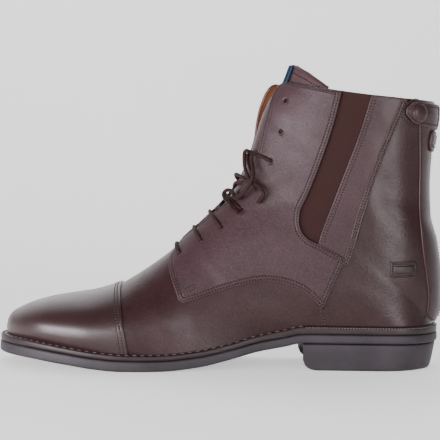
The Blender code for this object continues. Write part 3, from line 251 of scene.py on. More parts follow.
def bend(knots: Sequence[tuple[float, ...]] | Array, pitch: float = 1.3) -> Array:
    """Smooth curve through knots: cubic pieces with chord-length end slopes, read at an even pitch.

    Args:
        knots: the points to pass.
        pitch: the spacing of the result.

    Returns:
        Points along the curve.
    """
    knots = np.asarray(knots, float)
    chord = np.linalg.norm(np.diff(knots, axis=0), axis=1)[:, None]
    rate = np.diff(knots, axis=0) / chord
    slope = np.empty_like(knots)
    slope[0], slope[-1] = rate[0], rate[-1]
    slope[1:-1] = (rate[:-1] * chord[1:] + rate[1:] * chord[:-1]) / (chord[1:] + chord[:-1])
    u = np.linspace(0.0, 1.0, 24, endpoint=False)[None, :, None]
    a, b = knots[:-1, None], knots[1:, None]
    h, p, q = chord[:, None], slope[:-1, None], slope[1:, None]
    curve = (1 + 2 * u) * (1 - u) ** 2 * a + u * (1 - u) ** 2 * h * p
    curve = curve + u**2 * (3 - 2 * u) * b + u**2 * (u - 1) * h * q
    return even(np.concatenate([curve.reshape(-1, knots.shape[1]), knots[-1:]]), pitch)


def shift(path: Array, gap: float) -> Array:
    """A plane path moved sideways by a gap, to the left of its run when the gap is positive."""
    run = np.gradient(path, axis=0)
    run /= np.maximum(np.linalg.norm(run, axis=1, keepdims=True), 1e-9)
    return path + gap * np.stack([-run[:, 1], run[:, 0]], axis=1)


def sole_value(column: str, s: Array) -> Array:
    """One column of the sole's table at s, as its share."""
    return smooth(np.asarray(s, float) / LENGTH, SOLE[:, 0], SOLE[:, SOLE_COLUMNS.index(column)])


def level(column: str, s: Array) -> Array:
    """Height of one of the sole's lines at s."""
    return SHAFT_HEIGHT * sole_value(column, s)


def end_round(s: Array) -> Array:
    """Share of the full width left by the round toe and heel: roots of one less a power of the distance."""
    toe = np.clip((s - (LENGTH - 55.0)) / 55.0, 0, 1)
    heel = np.clip((35.0 - s) / 34.0, 0, 1)
    return np.sqrt(np.clip(1 - toe**2.3, 0, 1)) * np.sqrt(np.clip(1 - heel**2.1, 0, 1))


def half_width(side: int, s: Array, ledge: float = 0.0, toe: float = 0.0, heel: float = 0.0) -> Array:
    """Plan half width of the sole's outline, drawn in by a share of the ledge and by toe and heel mm."""
    ahead = np.asarray(s, float) - 1 - heel
    whole = np.clip(1 + ahead * (LENGTH - 1) / (LENGTH - 1 - heel - toe), 1, LENGTH)
    column = "lateral" if side < 0 else "medial"
    return BALL_WIDTH * (sole_value(column, whole) - ledge * sole_value("ledge", whole)) * end_round(whole)


def to_world(points: Array) -> Array:
    """Side-view millimetres and half width to scene metres."""
    points = np.asarray(points, float)
    return np.stack([HEEL_MID - points[..., 0], points[..., 1], points[..., 2]], axis=-1) * MM


class Form:
    """The upper's outer surface, as two nets that are read at (row, arc) places."""

    PER_ROW = 16
    COLUMNS = 361

    def __init__(self) -> None:
        """Work out both sides' nets, their normals and the length run over the sections."""
        count = (len(SECTIONS) - 1) * self.PER_ROW + 1
        self.rows = np.linspace(0, len(SECTIONS) - 1, count)
        nets = [self._net(side) for side in (-1, 1)]
        normals = self._normals(nets)
        self.net = np.empty((2, count, self.COLUMNS, 3))
        self.normal = np.empty_like(self.net)
        self.total = np.empty((2, count))
        for k, (net, normal) in enumerate(zip(nets, normals)):
            run = np.linalg.norm(np.diff(net, axis=1), axis=2).cumsum(axis=1)
            run = np.concatenate([np.zeros((count, 1)), run], axis=1)
            self.total[k] = run[:, -1]
            for i in range(count):
                places = np.linspace(0, run[i, -1], self.COLUMNS)
                for axis in range(3):
                    self.net[k, i, :, axis] = np.interp(places, run[i], net[i, :, axis])
                    self.normal[k, i, :, axis] = np.interp(places, run[i], normal[i, :, axis])
        middle = self.net[0, :, self.COLUMNS // 2]
        self.run = np.concatenate([[0.0], np.linalg.norm(np.diff(middle, axis=0), axis=1).cumsum()])

    def _value(self, column: str, row: Array) -> Array:
        """One column of the section table at row numbers."""
        return smooth(row, np.arange(len(SECTIONS)), SECTIONS[:, SECTION_COLUMNS.index(column)])

    def _net(self, side: int) -> Array:
        """One side's points: each section is two root curves that meet at its widest place."""
        row = self.rows[:, None]
        foot_s = LENGTH * self._value("foot_s", row)
        open_row = row <= HEEL_BACK_ROW
        foot_z = np.where(open_row, level("rim", foot_s) + 0.55, SHAFT_HEIGHT * self._value("foot_z", row))
        front_s = LENGTH * self._value("front_s", row)
        front_z = SHAFT_HEIGHT * self._value("front_z", row)
        toe_s = np.where(row < CAP_ROW, 1 + (foot_s - 1) * (LENGTH - 1) / (LENGTH - 7.2), 35.0)
        body = BALL_WIDTH * self._value("lateral" if side < 0 else "medial", row) * end_round(toe_s)
        low = np.where(row < HEEL_BACK_ROW - 1e-9, half_width(side, foot_s, 1.0, 6.2, 2.8), 0.0)
        body = np.maximum(body, low + 0.02)
        peak = self._value("peak", row)
        spread = 1 - np.cos(np.linspace(0, math.pi / 2, 130))
        share = 1 - np.concatenate([spread, 2 - spread[-2::-1]])[None, :] / 2
        rise = np.clip(share / peak, 0, 1)
        lower = np.sqrt(low**2 + (body**2 - low**2) * (1 - (1 - rise) ** self._value("back_round", row)))
        over = np.clip((share - peak) / (1 - peak), 0, 1)
        upper = body * np.sqrt(np.clip(1 - over ** self._value("front_round", row), 0, 1))
        dip = 2.2 * np.clip((row - HEEL_BACK_ROW) / (COLLAR_ROW - HEEL_BACK_ROW), 0, 1)
        s = foot_s + share * (front_s - foot_s)
        z = foot_z + share * (front_z - foot_z) - dip * 4 * share * (1 - share)
        return np.stack([s, side * np.where(share < peak, lower, upper), z], axis=2)

    def _normals(self, nets: list[Array]) -> list[Array]:
        """Outward normals of both nets: the cross product of their steps across and along."""
        found = []
        for net, mirror, side in ((nets[0], nets[1], -1), (nets[1], nets[0], 1)):
            along, across = np.gradient(net, axis=0), np.gradient(net, axis=1)
            across[:, 0] = net[:, 1] - mirror[:, 1]
            closed = self.rows > HEEL_BACK_ROW
            across[closed, -1] = mirror[closed, -2] - net[closed, -2]
            along[0] = 2 * (net[1] - net[0]) - (net[2] - net[1])
            normal = np.cross(across, along) * side
            normal /= np.maximum(np.linalg.norm(normal, axis=2, keepdims=True), 1e-9)
            normal[0] = (1.0, 0.0, 0.0)
            found.append(normal)
        return found

    def read(self, row: Array, arc: Array, side: Array) -> tuple[Array, Array]:
        """Points and unit normals at row numbers and arcs from the front line.

        Args:
            row: row numbers.
            arc: arc lengths from the front line to the foot.
            side: minus one for lateral, one for medial, one value or one for each place.

        Returns:
            The points and the normals, one a row.
        """
        row, arc, side = np.broadcast_arrays(np.asarray(row, float), np.asarray(arc, float), side)
        k = (side > 0).astype(int)
        place = np.clip(row, 0, self.rows[-1]) * self.PER_ROW
        i = np.minimum(place.astype(int), len(self.rows) - 2)
        u = (place - i)[..., None]
        total = self.total[k, i] * (1 - u[..., 0]) + self.total[k, i + 1] * u[..., 0]
        spot = np.clip(arc / total, 0, 1) * (self.COLUMNS - 1)
        j = np.minimum(spot.astype(int), self.COLUMNS - 2)
        v = (spot - j)[..., None]

        def blend(field_: Array) -> Array:
            """Bilinear value of a net at the places."""
            low = field_[k, i, j] * (1 - v) + field_[k, i, j + 1] * v
            high = field_[k, i + 1, j] * (1 - v) + field_[k, i + 1, j + 1] * v
            return low * (1 - u) + high * u

        normal = blend(self.normal)
        return blend(self.net), normal / np.maximum(np.linalg.norm(normal, axis=-1, keepdims=True), 1e-9)

    def relief(self, points: Array) -> Array:
        """Height of the soft creases: a sum of stretched bells about each crease's place."""
        s, z = points[..., 0, None], points[..., 2, None]
        size = np.hypot(CREASES[:, 2], CREASES[:, 3])
        along = ((s - CREASES[:, 0]) * CREASES[:, 2] + (z - CREASES[:, 1]) * CREASES[:, 3]) / size
        across = ((z - CREASES[:, 1]) * CREASES[:, 2] - (s - CREASES[:, 0]) * CREASES[:, 3]) / size
        hills = np.exp(-((along / CREASES[:, 4]) ** 2) - (across / CREASES[:, 5]) ** 2)
        return (CREASES[:, 6] * hills).sum(axis=-1)

    def at(self, row: Array, arc: Array, side: Array, offset: Array = 0.0, worn: bool = True) -> Array:
        """Points at places, moved out along the normal by an offset and, if worn, by the creases."""
        point, normal = self.read(row, arc, side)
        lift = np.broadcast_to(np.asarray(offset, float), point.shape[:-1])
        if worn:
            lift = lift + self.relief(point)
        return point + lift[..., None] * normal

    def along(self, row: Array) -> Array:
        """Length run over the sections up to a row."""
        return np.interp(row, self.rows, self.run)

    def row(self, along: Array) -> Array:
        """Row number at a length."""
        return np.interp(along, self.run, self.rows)

    def full(self, row: Array, side: int) -> Array:
        """Arc length of one side's section, front line to foot."""
        return np.interp(row, self.rows, self.total[int(side > 0)])

    def place(self, where: Lay, plane: Array) -> tuple[Array, Array, Array]:
        """Row, arc and side of (along, across) places of a lay."""
        row = self.row(plane[..., 0])
        if where is Lay.BACK:
            side = np.where(plane[..., 1] >= 0, -1, 1)
            full = np.where(side < 0, self.full(row, -1), self.full(row, 1))
            return row, full - np.abs(plane[..., 1]), side
        side = np.where(plane[..., 1] >= 0, where.value, -where.value)
        return row, np.abs(plane[..., 1]), side

    def lay(self, where: Lay, plane: Array, offset: Array = 0.0, worn: bool = True) -> Array:
        """Points of (along, across) places of a lay, at an offset."""
        return self.at(*self.place(where, plane), offset, worn)

    def outward(self, where: Lay, plane: Array) -> Array:
        """Normals at (along, across) places of a lay."""
        return self.read(*self.place(where, plane))[1]

    def find(self, spots: Array, side: int, offset: Array = 0.0) -> Array:
        """Places of side-view spots on an offset surface, stepped to from the nearest net point.

        Args:
            spots: (s, z) rows.
            side: the side to look on.
            offset: the surface's offset, one value or one for each spot.

        Returns:
            (row, arc) rows.
        """
        spots = np.asarray(spots, float)
        offset = np.broadcast_to(np.asarray(offset, float), (len(spots),))
        k = int(side > 0)
        net = self.net[k, ::4, ::4] + offset.mean() * self.normal[k, ::4, ::4]
        off_s = net[None, :, :, 0] - spots[:, 0, None, None]
        off_z = net[None, :, :, 2] - spots[:, 1, None, None]
        gap = off_s**2 + off_z**2
        best = gap.reshape(len(spots), -1).argmin(axis=1)
        i, j = np.unravel_index(best, net.shape[:2])
        row = self.rows[::4][i]
        arc = self.total[k, ::4][i] * (j * 4) / (self.COLUMNS - 1)
        for _ in range(10):
            here = self.at(row, arc, side, offset, False)
            by_row = (self.at(row + 0.02, arc, side, offset, False) - here) / 0.02
            by_arc = (self.at(row, arc + 0.2, side, offset, False) - here) / 0.2
            miss = spots - here[:, [0, 2]]
            det = by_row[:, 0] * by_arc[:, 2] - by_row[:, 2] * by_arc[:, 0]
            det = np.where(np.abs(det) < 1e-6, 1e-6, det)
            row = row + np.clip((miss[:, 0] * by_arc[:, 2] - miss[:, 1] * by_arc[:, 0]) / det, -0.5, 0.5)
            arc = arc + np.clip((miss[:, 1] * by_row[:, 0] - miss[:, 0] * by_row[:, 2]) / det, -4, 4)
            row = np.clip(row, 0, self.rows[-1])
            arc = np.clip(arc, 0, self.full(row, side))
        return np.stack([row, arc], axis=1)

    def trace(self, spots: Array, side: int, offset: Array = 0.0, top: float = 25.96) -> Array:
        """(along, arc) places of side-view spots, held under the collar."""
        found = self.find(spots, side, offset)
        return np.stack([self.along(np.minimum(found[:, 0], top)), found[:, 1]], axis=1)

    def back_trace(self, spots: Array, side: int, offset: float) -> Array:
        """(along, signed arc from the back seam) places of side-view spots."""
        found = self.find(spots, side, offset)
        back = self.full(found[:, 0], side) - found[:, 1]
        return np.stack([self.along(found[:, 0]), -side * back], axis=1)

    def row_at_back(self, z: float) -> float:
        """Row number where the back seam is at a height."""
        first = HEEL_BACK_ROW * self.PER_ROW
        return float(np.interp(z, self.net[0, first:, -1, 2], self.rows[first:]))


class Value:
    """One shader output with Python's arithmetic; each operation adds a Math node."""

    def __init__(self, paint: "Paint", socket: bpy.types.NodeSocket) -> None:
        """Keep the tree and the socket."""
        self.paint = paint
        self.socket = socket

    def _math(self, kind: str, *others: "Value | float") -> "Value":
        """Math node of a kind on this value and the others."""
        return self.paint.node("ShaderNodeMath", {"operation": kind}, dict(enumerate((self, *others))))

    def __add__(self, other: "Value | float") -> "Value":
        """Sum."""
        return self._math("ADD", other)

    __radd__ = __add__

    def __mul__(self, other: "Value | float") -> "Value":
        """Product."""
        return self._math("MULTIPLY", other)

    __rmul__ = __mul__

    def __sub__(self, other: "Value | float") -> "Value":
        """Difference."""
        return self._math("SUBTRACT", other)

    def __rsub__(self, other: float) -> "Value":
        """A number less this value."""
        return self * -1.0 + other

    def power(self, exponent: float) -> "Value":
        """This value to a power."""
        return self._math("POWER", exponent)

    def wave(self) -> "Value":
        """Sine of this value."""
        return self._math("SINE")

    def size(self) -> "Value":
        """Absolute value."""
        return self._math("ABSOLUTE")

    def band(self, low: float, high: float) -> "Value":
        """Smooth step from 0 at low to 1 at high."""
        settings = {"interpolation_type": "SMOOTHSTEP"}
        return self.paint.node("ShaderNodeMapRange", settings,
                               {"Value": self, "From Min": low, "From Max": high})

    def bell(self, centre: float, width: float) -> "Value":
        """1 at the centre, falling smoothly to 0 a width away."""
        return 1.0 - (self - centre).size().band(0.0, width)


class Paint:
    """A Principled material under construction."""

    def __init__(self, name: str) -> None:
        """Start an empty material."""
        self.material = bpy.data.materials.new(name)
        self.material.use_nodes = True
        self.tree = self.material.node_tree
        self.shader = self.tree.nodes["Principled BSDF"]
        self.place = self.node("ShaderNodeTexCoord", {}, {}, "Object")

    def node(self, kind: str, settings: dict, inputs: dict, output: str | int = 0) -> Value:
        """Add a node.

        Args:
            kind: the node's type.
            settings: attributes set before its sockets; stops fills a colour ramp.
            inputs: socket name or number to a value or a link.
            output: the socket to hand back.

        Returns:
            The wrapped output.
        """
        made = self.tree.nodes.new(kind)
        for key, value in settings.items():
            if key == "stops":
                ramp = made.color_ramp
                ramp.elements[0].position, ramp.elements[0].color = value[0][0], (*value[0][1], 1.0)
                ramp.elements[1].position, ramp.elements[1].color = value[-1][0], (*value[-1][1], 1.0)
                for position, colour in value[1:-1]:
                    ramp.elements.new(position).color = (*colour, 1.0)
            else:
                setattr(made, key, value)
        for key, value in inputs.items():
            if isinstance(value, Value):
                self.tree.links.new(value.socket, made.inputs[key])
            else:
                made.inputs[key].default_value = value
        return Value(self, made.outputs[output])

    def noise(self, scale: float, detail: float = 3.0,
              stretch: tuple[float, float, float] = (1, 1, 1)) -> Value:
        """Noise on Object coordinates, its scale in cells to the metre."""
        place = self.node("ShaderNodeMapping", {}, {"Vector": self.place, "Scale": stretch})
        return self.node("ShaderNodeTexNoise", {}, {"Vector": place, "Scale": scale, "Detail": detail})

    def pores(self, scale: float) -> Value:
        """Distance to the nearest of scattered points, for grain and pebble."""
        return self.node("ShaderNodeTexVoronoi", {}, {"Vector": self.place, "Scale": scale}, "Distance")

    def attribute(self, name: str) -> Value:
        """A number kept on the mesh."""
        return self.node("ShaderNodeAttribute", {"attribute_name": name}, {}, "Fac")

    def mix(self, share: Value | float, low: Value | tuple, high: Value | tuple) -> Value:
        """Blend of two colours by a share."""
        low = (*low, 1.0) if isinstance(low, tuple) else low
        high = (*high, 1.0) if isinstance(high, tuple) else high
        return self.node("ShaderNodeMix", {"data_type": "RGBA"}, {0: share, 6: low, 7: high}, 2)

    def bump(self, height: Value, distance: float, strength: float = 1.0,
             below: Value | None = None) -> Value:
        """Bump node on a height."""
        inputs = {"Height": height, "Distance": distance, "Strength": strength}
        if below is not None:
            inputs["Normal"] = below
        return self.node("ShaderNodeBump", {}, inputs)

    def finish(self, **sockets: Value | float | tuple) -> bpy.types.Material:
        """Feed the shader's sockets, named with underscores for blanks, and hand back the material."""
        for key, value in sockets.items():
            socket = self.shader.inputs[key.replace("_", " ")]
            if isinstance(value, Value):
                self.tree.links.new(value.socket, socket)
            else:
                socket.default_value = value
        return self.material


@dataclass(frozen=True)
class SmoothLeather:
    """Polished calf: clouded brown, fine grain, soft sheen, a paler cut edge (its raw tone plus a painted
    highlight) and stitch furrows darkened by painted shade.
    """

    name: str
    dark: tuple[float, float, float]
    light: tuple[float, float, float]
    rough: float = 0.36
    furrows: tuple[float, ...] = ()
    grain: float = 1.0
    coat: float = 0.04

    def make(self) -> bpy.types.Material:
        """Build the material."""
        paint = Paint(self.name)
        cloud = paint.noise(16.0, 4.0)
        mottle = paint.noise(95.0, 3.0)
        colour = paint.mix(cloud.band(0.3, 0.72), self.dark, self.light)
        warm = tuple(channel * 0.72 for channel in self.dark)
        colour = paint.mix(mottle.band(0.45, 0.8) * 0.45, colour, warm)
        fleck = paint.noise(850.0, 3.0).band(0.38, 0.66)
        colour = paint.mix(fleck * 0.28 * self.grain, colour, tuple(channel * 1.9 for channel in self.light))
        edge = paint.attribute("edge")
        furrow_and_shade: Value | None = None
        for distance in self.furrows:
            here = edge.bell(distance, 0.75)
            furrow_and_shade = here if furrow_and_shade is None else furrow_and_shade + here
        # cut edge: a paler band, partly the raw edge's own lighter tone and partly a painted highlight where
        # the edge catches light
        cut = 1.0 - edge.band(0.0, 0.5)
        colour = paint.mix(cut * 0.55, colour, (0.075, 0.042, 0.040))
        height = paint.pores(1500.0) * 0.35 + paint.noise(620.0, 5.0) * 0.9 + paint.noise(190.0, 3.0) * 1.1
        normal = paint.bump(height, 0.00016 * self.grain, 0.7)
        soft = paint.noise(34.0, 2.0)
        normal = paint.bump(soft, 0.0022, 0.22, normal)
        if furrow_and_shade is not None:
            # painted shade: the stitch furrows are darkened toward near-black as if shade lay in the groove;
            # the bump below sinks the groove itself
            colour = paint.mix(furrow_and_shade * 0.35, colour, (0.012, 0.007, 0.006))
            normal = paint.bump(furrow_and_shade * -1.0, 0.00022, 1.0, normal)
        rough = paint.noise(60.0, 3.0) * 0.16 + (self.rough - 0.08) + mottle.band(0.5, 0.9) * 0.05
        return paint.finish(
            Base_Color=colour, Roughness=rough, Normal=normal, Coat_Weight=self.coat, Coat_Roughness=0.32,
            Specular_IOR_Level=0.24,
        )


@dataclass(frozen=True)
class PlainFinish:
    """Lining, cord, thread and other small matter: two tones with a fine grain."""

    name: str
    dark: tuple[float, float, float]
    light: tuple[float, float, float]
    rough: float
    scale: float = 700.0
    depth: float = 0.00006
    metal: float = 0.0

    def make(self) -> bpy.types.Material:
        """Build the material."""
        paint = Paint(self.name)
        speck = paint.noise(self.scale, 3.0)
        colour = paint.mix(speck.band(0.35, 0.7), self.dark, self.light)
        rough = paint.noise(self.scale * 0.3, 2.0) * 0.12 + (self.rough - 0.06)
        normal = paint.bump(speck, self.depth, 0.8)
        return paint.finish(
            Base_Color=colour, Roughness=rough, Normal=normal, Metallic=self.metal, Specular_IOR_Level=0.25,
        )


@dataclass(frozen=True)
class Elastic:
    """Woven elastic: fine cords that run up the gore, with a cross weave."""

    name: str = "gore_elastic"
    dark: tuple[float, float, float] = (0.013, 0.0045, 0.0040)
    light: tuple[float, float, float] = (0.030, 0.0110, 0.0095)
    pitch: float = 0.85

    def make(self) -> bpy.types.Material:
        """Build the material."""
        paint = Paint(self.name)
        across, along = paint.attribute("across"), paint.attribute("along")
        rib = (across * (2 * math.pi / self.pitch)).wave() * 0.5 + 0.5
        weft = (along * (2 * math.pi / 0.7)).wave() * 0.5 + 0.5
        weave = rib * 0.75 + weft * 0.25
        fuzz = paint.noise(900.0, 3.0)
        colour = paint.mix(weave * 0.7 + fuzz * 0.3, self.dark, self.light)
        normal = paint.bump(weave + fuzz * 0.4, 0.00016, 0.9)
        return paint.finish(Base_Color=colour, Roughness=0.9, Normal=normal, Specular_IOR_Level=0.2)


@dataclass(frozen=True)
class Braid:
    """Round waxed lace: two braided strands wound about the cord's length."""

    name: str = "lace_braid"
    dark: tuple[float, float, float] = (0.009, 0.0030, 0.0028)
    light: tuple[float, float, float] = (0.030, 0.0120, 0.0105)

    def make(self) -> bpy.types.Material:
        """Build the material."""
        paint = Paint(self.name)
        turn, run = paint.attribute("turn"), paint.attribute("along")
        left = (turn * 3.0 + run * 2.6).wave()
        right = (turn * 3.0 - run * 2.6).wave()
        plait = (left * right) * 0.5 + 0.5
        colour = paint.mix(plait, self.dark, self.light)
        normal = paint.bump(plait + paint.noise(1500.0, 2.0) * 0.3, 0.00016, 0.9)
        return paint.finish(Base_Color=colour, Roughness=0.7, Normal=normal, Specular_IOR_Level=0.18)


@dataclass(frozen=True)
class WovenTab:
    """Plain navy ribbon with one pale blue line."""

    name: str = "tab_weave"
    ground: tuple[float, float, float] = (0.004, 0.008, 0.018)
    line: tuple[float, float, float] = (0.06, 0.26, 0.56)
    place: float = 10.2

    def make(self) -> bpy.types.Material:
        """Build the material."""
        paint = Paint(self.name)
        across, along = paint.attribute("across"), paint.attribute("along")
        weave = (across * 9.0).wave() * (along * 9.0).wave() * 0.5 + 0.5
        ground = paint.mix(weave * 0.5, self.ground, tuple(c * 2.0 for c in self.ground))
        colour = paint.mix(across.bell(self.place, 0.24), ground, self.line)
        normal = paint.bump(weave, 0.00012, 0.8)
        return paint.finish(Base_Color=colour, Roughness=0.8, Normal=normal, Specular_IOR_Level=0.1)


@dataclass(frozen=True)
class Rubber:
    """Moulded rubber: dull dark grey with a fine pebble and pale dusty specks all over."""

    name: str = "sole_rubber"
    dark: tuple[float, float, float] = (0.0135, 0.0105, 0.0130)
    light: tuple[float, float, float] = (0.0260, 0.0210, 0.0250)

    def make(self) -> bpy.types.Material:
        """Build the material."""
        paint = Paint(self.name)
        cloud = paint.noise(40.0, 4.0)
        speck = paint.noise(1300.0, 2.0)
        colour = paint.mix(cloud.band(0.3, 0.75), self.dark, self.light)
        colour = paint.mix(speck.band(0.62, 0.8) * 0.25, colour, (0.060, 0.053, 0.056))
        normal = paint.bump(speck + paint.noise(420.0, 3.0) * 0.6, 0.00010, 0.7)
        rough = cloud * 0.14 + 0.48
        return paint.finish(Base_Color=colour, Roughness=rough, Normal=normal, Specular_IOR_Level=0.32)


@dataclass(frozen=True)
class EdgeLeather:
    """Waxed leather edge of the welt: stacked fibres that run along it."""

    name: str = "welt_edge"
    dark: tuple[float, float, float] = (0.0080, 0.0040, 0.0042)
    light: tuple[float, float, float] = (0.0230, 0.0135, 0.0140)

    def make(self) -> bpy.types.Material:
        """Build the material."""
        paint = Paint(self.name)
        fibre = paint.noise(500.0, 3.0, (0.12, 0.12, 1.6))
        cloud = paint.noise(45.0, 3.0)
        colour = paint.mix(fibre.band(0.3, 0.7) * 0.6 + cloud * 0.4, self.dark, self.light)
        normal = paint.bump(fibre, 0.00010, 0.7)
        return paint.finish(Base_Color=colour, Roughness=0.42, Normal=normal, Specular_IOR_Level=0.3)


class Wardrobe:
    """All finishes of the boot, made once."""

    def __init__(self) -> None:
        """Make each material."""
        brown, sheen = (0.0150, 0.0055, 0.0055), (0.0250, 0.0105, 0.0118)
        self.vamp = SmoothLeather("vamp_leather", brown, sheen, 0.33).make()
        self.cap = SmoothLeather("cap_leather", brown, sheen, 0.34, (2.0, 3.9), 0.8, 0.40).make()
        self.quarter = SmoothLeather("quarter_leather", (0.0210, 0.0095, 0.0112), (0.0330, 0.0170, 0.0205),
                                     0.47, (1.2, 3.3), 1.25, 0.0).make()
        self.plain = SmoothLeather("rear_leather", (0.0215, 0.0095, 0.0110), (0.0340, 0.0170, 0.0200),
                                   0.38).make()
        self.trim = SmoothLeather("trim_leather", (0.0190, 0.0080, 0.0085), (0.0310, 0.0145, 0.0165), 0.36,
                                  (1.1,)).make()
        self.tag = SmoothLeather("tag_leather", (0.0110, 0.0042, 0.0042), (0.0200, 0.0085, 0.0090), 0.36,
                                 (1.9, 2.5)).make()
        self.tongue = SmoothLeather("tongue_leather", (0.0300, 0.0150, 0.0165), (0.0460, 0.0245, 0.0275),
                                    0.42).make()
        self.lining = PlainFinish("lining_leather", (0.46, 0.17, 0.075), (0.60, 0.26, 0.13), 0.72,
                                  900.0).make()
        self.elastic = Elastic().make()
        self.lace = Braid().make()
        self.thread = PlainFinish("thread", (0.036, 0.019, 0.017), (0.075, 0.044, 0.041), 0.6, 2500.0).make()
        # near-black painted shade for the needle holes of the stitching and for the eyelet holes
        self.hole = PlainFinish("needle_hole", (0.004, 0.003, 0.003), (0.008, 0.005, 0.005), 0.8).make()
        self.welt_thread = PlainFinish("welt_thread", (0.085, 0.058, 0.054), (0.19, 0.145, 0.135), 0.6,
                                       2500.0).make()
        self.rubber = Rubber().make()
        self.welt = EdgeLeather().make()
        self.board = PlainFinish("insole_leather", (0.20, 0.11, 0.055), (0.30, 0.18, 0.10), 0.75,
                                 500.0).make()
        self.metal = PlainFinish("zip_brass", (0.16, 0.12, 0.09), (0.26, 0.21, 0.17), 0.34, 900.0, 0.00002,
                                 1.0).make()
        self.tape = PlainFinish("zip_tape", (0.016, 0.010, 0.009), (0.036, 0.023, 0.020), 0.85, 1800.0).make()
        self.ring = PlainFinish("eyelet_rim", (0.060, 0.036, 0.032), (0.12, 0.080, 0.072), 0.42, 900.0,
                                0.00002, 0.3).make()
        self.tab = WovenTab().make()


def keep(name: str, points: Array, faces: list, materials: list, slots: Array | None = None,
         fields: dict[str, Array] | None = None, smooth_faces: Array | None = None,
         merge: bool = False) -> bpy.types.Object:
    """Make an object at the origin from world points, ridden on the root.

    Args:
        name: the piece's name.
        points: (N, 3) metres.
        faces: corner numbers of each face.
        materials: its materials, in slot order.
        slots: a slot number for each face.
        fields: numbers kept on the points, by name.
        smooth_faces: whether each face is smooth; all are when left out.
        merge: join points that coincide and set the faces outward.

    Returns:
        The object.
    """
    mesh = bpy.data.meshes.new(name)
    mesh.from_pydata(np.asarray(points).reshape(-1, 3).tolist(), [], faces)
    for material in materials:
        mesh.materials.append(material)
    if slots is not None:
        mesh.polygons.foreach_set("material_index", np.asarray(slots, np.int32))
    flags = np.ones(len(mesh.polygons), bool) if smooth_faces is None else smooth_faces
    mesh.polygons.foreach_set("use_smooth", flags)
    for key, values in (fields or {}).items():
        layer = mesh.attributes.new(key, "FLOAT", "POINT")
        layer.data.foreach_set("value", np.asarray(values, np.float32).ravel())
    if merge:
        shape = bmesh.new()
        shape.from_mesh(mesh)
        bmesh.ops.remove_doubles(shape, verts=shape.verts, dist=0.00001)
        bmesh.ops.dissolve_degenerate(shape, edges=shape.edges, dist=0.000004)
        bmesh.ops.recalc_face_normals(shape, faces=shape.faces)
        shape.to_mesh(mesh)
        shape.free()
    mesh.update()
    piece = bpy.data.objects.new(name, mesh)
    bpy.context.scene.collection.objects.link(piece)
    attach(piece, "root")
    LOG.info("%s: %d faces", name, len(mesh.polygons))
    return piece


def grid(rows: int, columns: int, wrap: bool = False) -> Array:
    """Quads of a grid of points, row by row, with the last column joined to the first when it wraps."""
    i, j = np.meshgrid(np.arange(rows - 1), np.arange(columns if wrap else columns - 1), indexing="ij")
    k = (j + 1) % columns
    quads = np.stack([i * columns + j, i * columns + k, (i + 1) * columns + k, (i + 1) * columns + j],
                     axis=-1)
    return quads.reshape(-1, 4)


def boundary(faces: Array, count: int) -> Array:
    """Directed edges that only one face has, for faces of equal corner count."""
    edges = np.concatenate([np.stack([faces[:, k], faces[:, (k + 1) % faces.shape[1]]], axis=1)
                            for k in range(faces.shape[1])])
    there = edges[:, 0] * count + edges[:, 1]
    back = edges[:, 1] * count + edges[:, 0]
    return edges[~np.isin(there, back)]


def shell(name: str, top: Array, bottom: Array, faces: Array, materials: list, fields: dict[str, Array],
          under: int = 0, wall: int = 0, outward: Array | None = None,
          merge: bool = False) -> bpy.types.Object:
    """Closed piece of leather: a face sheet, the same sheet below it turned over, and a wall at each edge.

    Args:
        name: the piece's name.
        top: (N, 3) outer points, metres.
        bottom: (N, 3) inner points, metres.
        faces: the sheet's faces, all of one corner count.
        materials: materials in slot order.
        fields: numbers kept on the top's points.
        under: slot of the underside.
        wall: slot of the walls.
        outward: the outward normals at the points, to turn the faces by.
        merge: join points that coincide.

    Returns:
        The object.
    """
    count = len(top)
    if outward is not None:
        a, b, c = (top[faces[:, k]] for k in range(3))
        look = (np.cross(b - a, c - a) * outward[faces[:, 0]]).sum()
        if look < 0:
            faces = faces[:, ::-1]
    rim = boundary(faces, count)
    walls = np.stack([rim[:, 1], rim[:, 0], rim[:, 0] + count, rim[:, 1] + count], axis=1)
    every = faces.tolist() + (faces[:, ::-1] + count).tolist() + walls.tolist()
    slots = np.concatenate([np.zeros(len(faces)), np.full(len(faces), under), np.full(len(walls), wall)])
    soft = np.concatenate([np.ones(2 * len(faces), bool), np.zeros(len(walls), bool)])
    doubled = {key: np.concatenate([values, values]) for key, values in fields.items()}
    points = np.concatenate([top, bottom])
    return keep(name, points, every, materials, slots, doubled, soft, merge)


def edge_distance(points: Array, loops: list[Array]) -> Array:
    """Distance of plane points to the nearest of some closed polylines."""
    best = np.full(len(points), 1e9)
    for loop in loops:
        a, b = loop, np.roll(loop, -1, axis=0)
        run = b - a
        size = np.maximum((run**2).sum(axis=1), 1e-12)
        for start in range(0, len(points), 2000):
            chunk = points[start:start + 2000, None]
            share = np.clip(((chunk - a) * run).sum(axis=2) / size, 0, 1)[..., None]
            gap = np.linalg.norm(chunk - a - share * run, axis=2).min(axis=1)
            best[start:start + 2000] = np.minimum(best[start:start + 2000], gap)
    return best


def within(points: Array, loop: Array) -> Array:
    """Whether plane points lie inside a closed polyline, by counting crossings."""
    x, y = points[:, 0, None], points[:, 1, None]
    x0, y0 = loop[:, 0], loop[:, 1]
    x1, y1 = np.roll(x0, -1), np.roll(y0, -1)
    rise = np.where(np.abs(y1 - y0) < 1e-12, 1e-12, y1 - y0)
    hit = ((y0 > y) != (y1 > y)) & (x < (x1 - x0) * (y - y0) / rise + x0)
    return hit.sum(axis=1) % 2 == 1


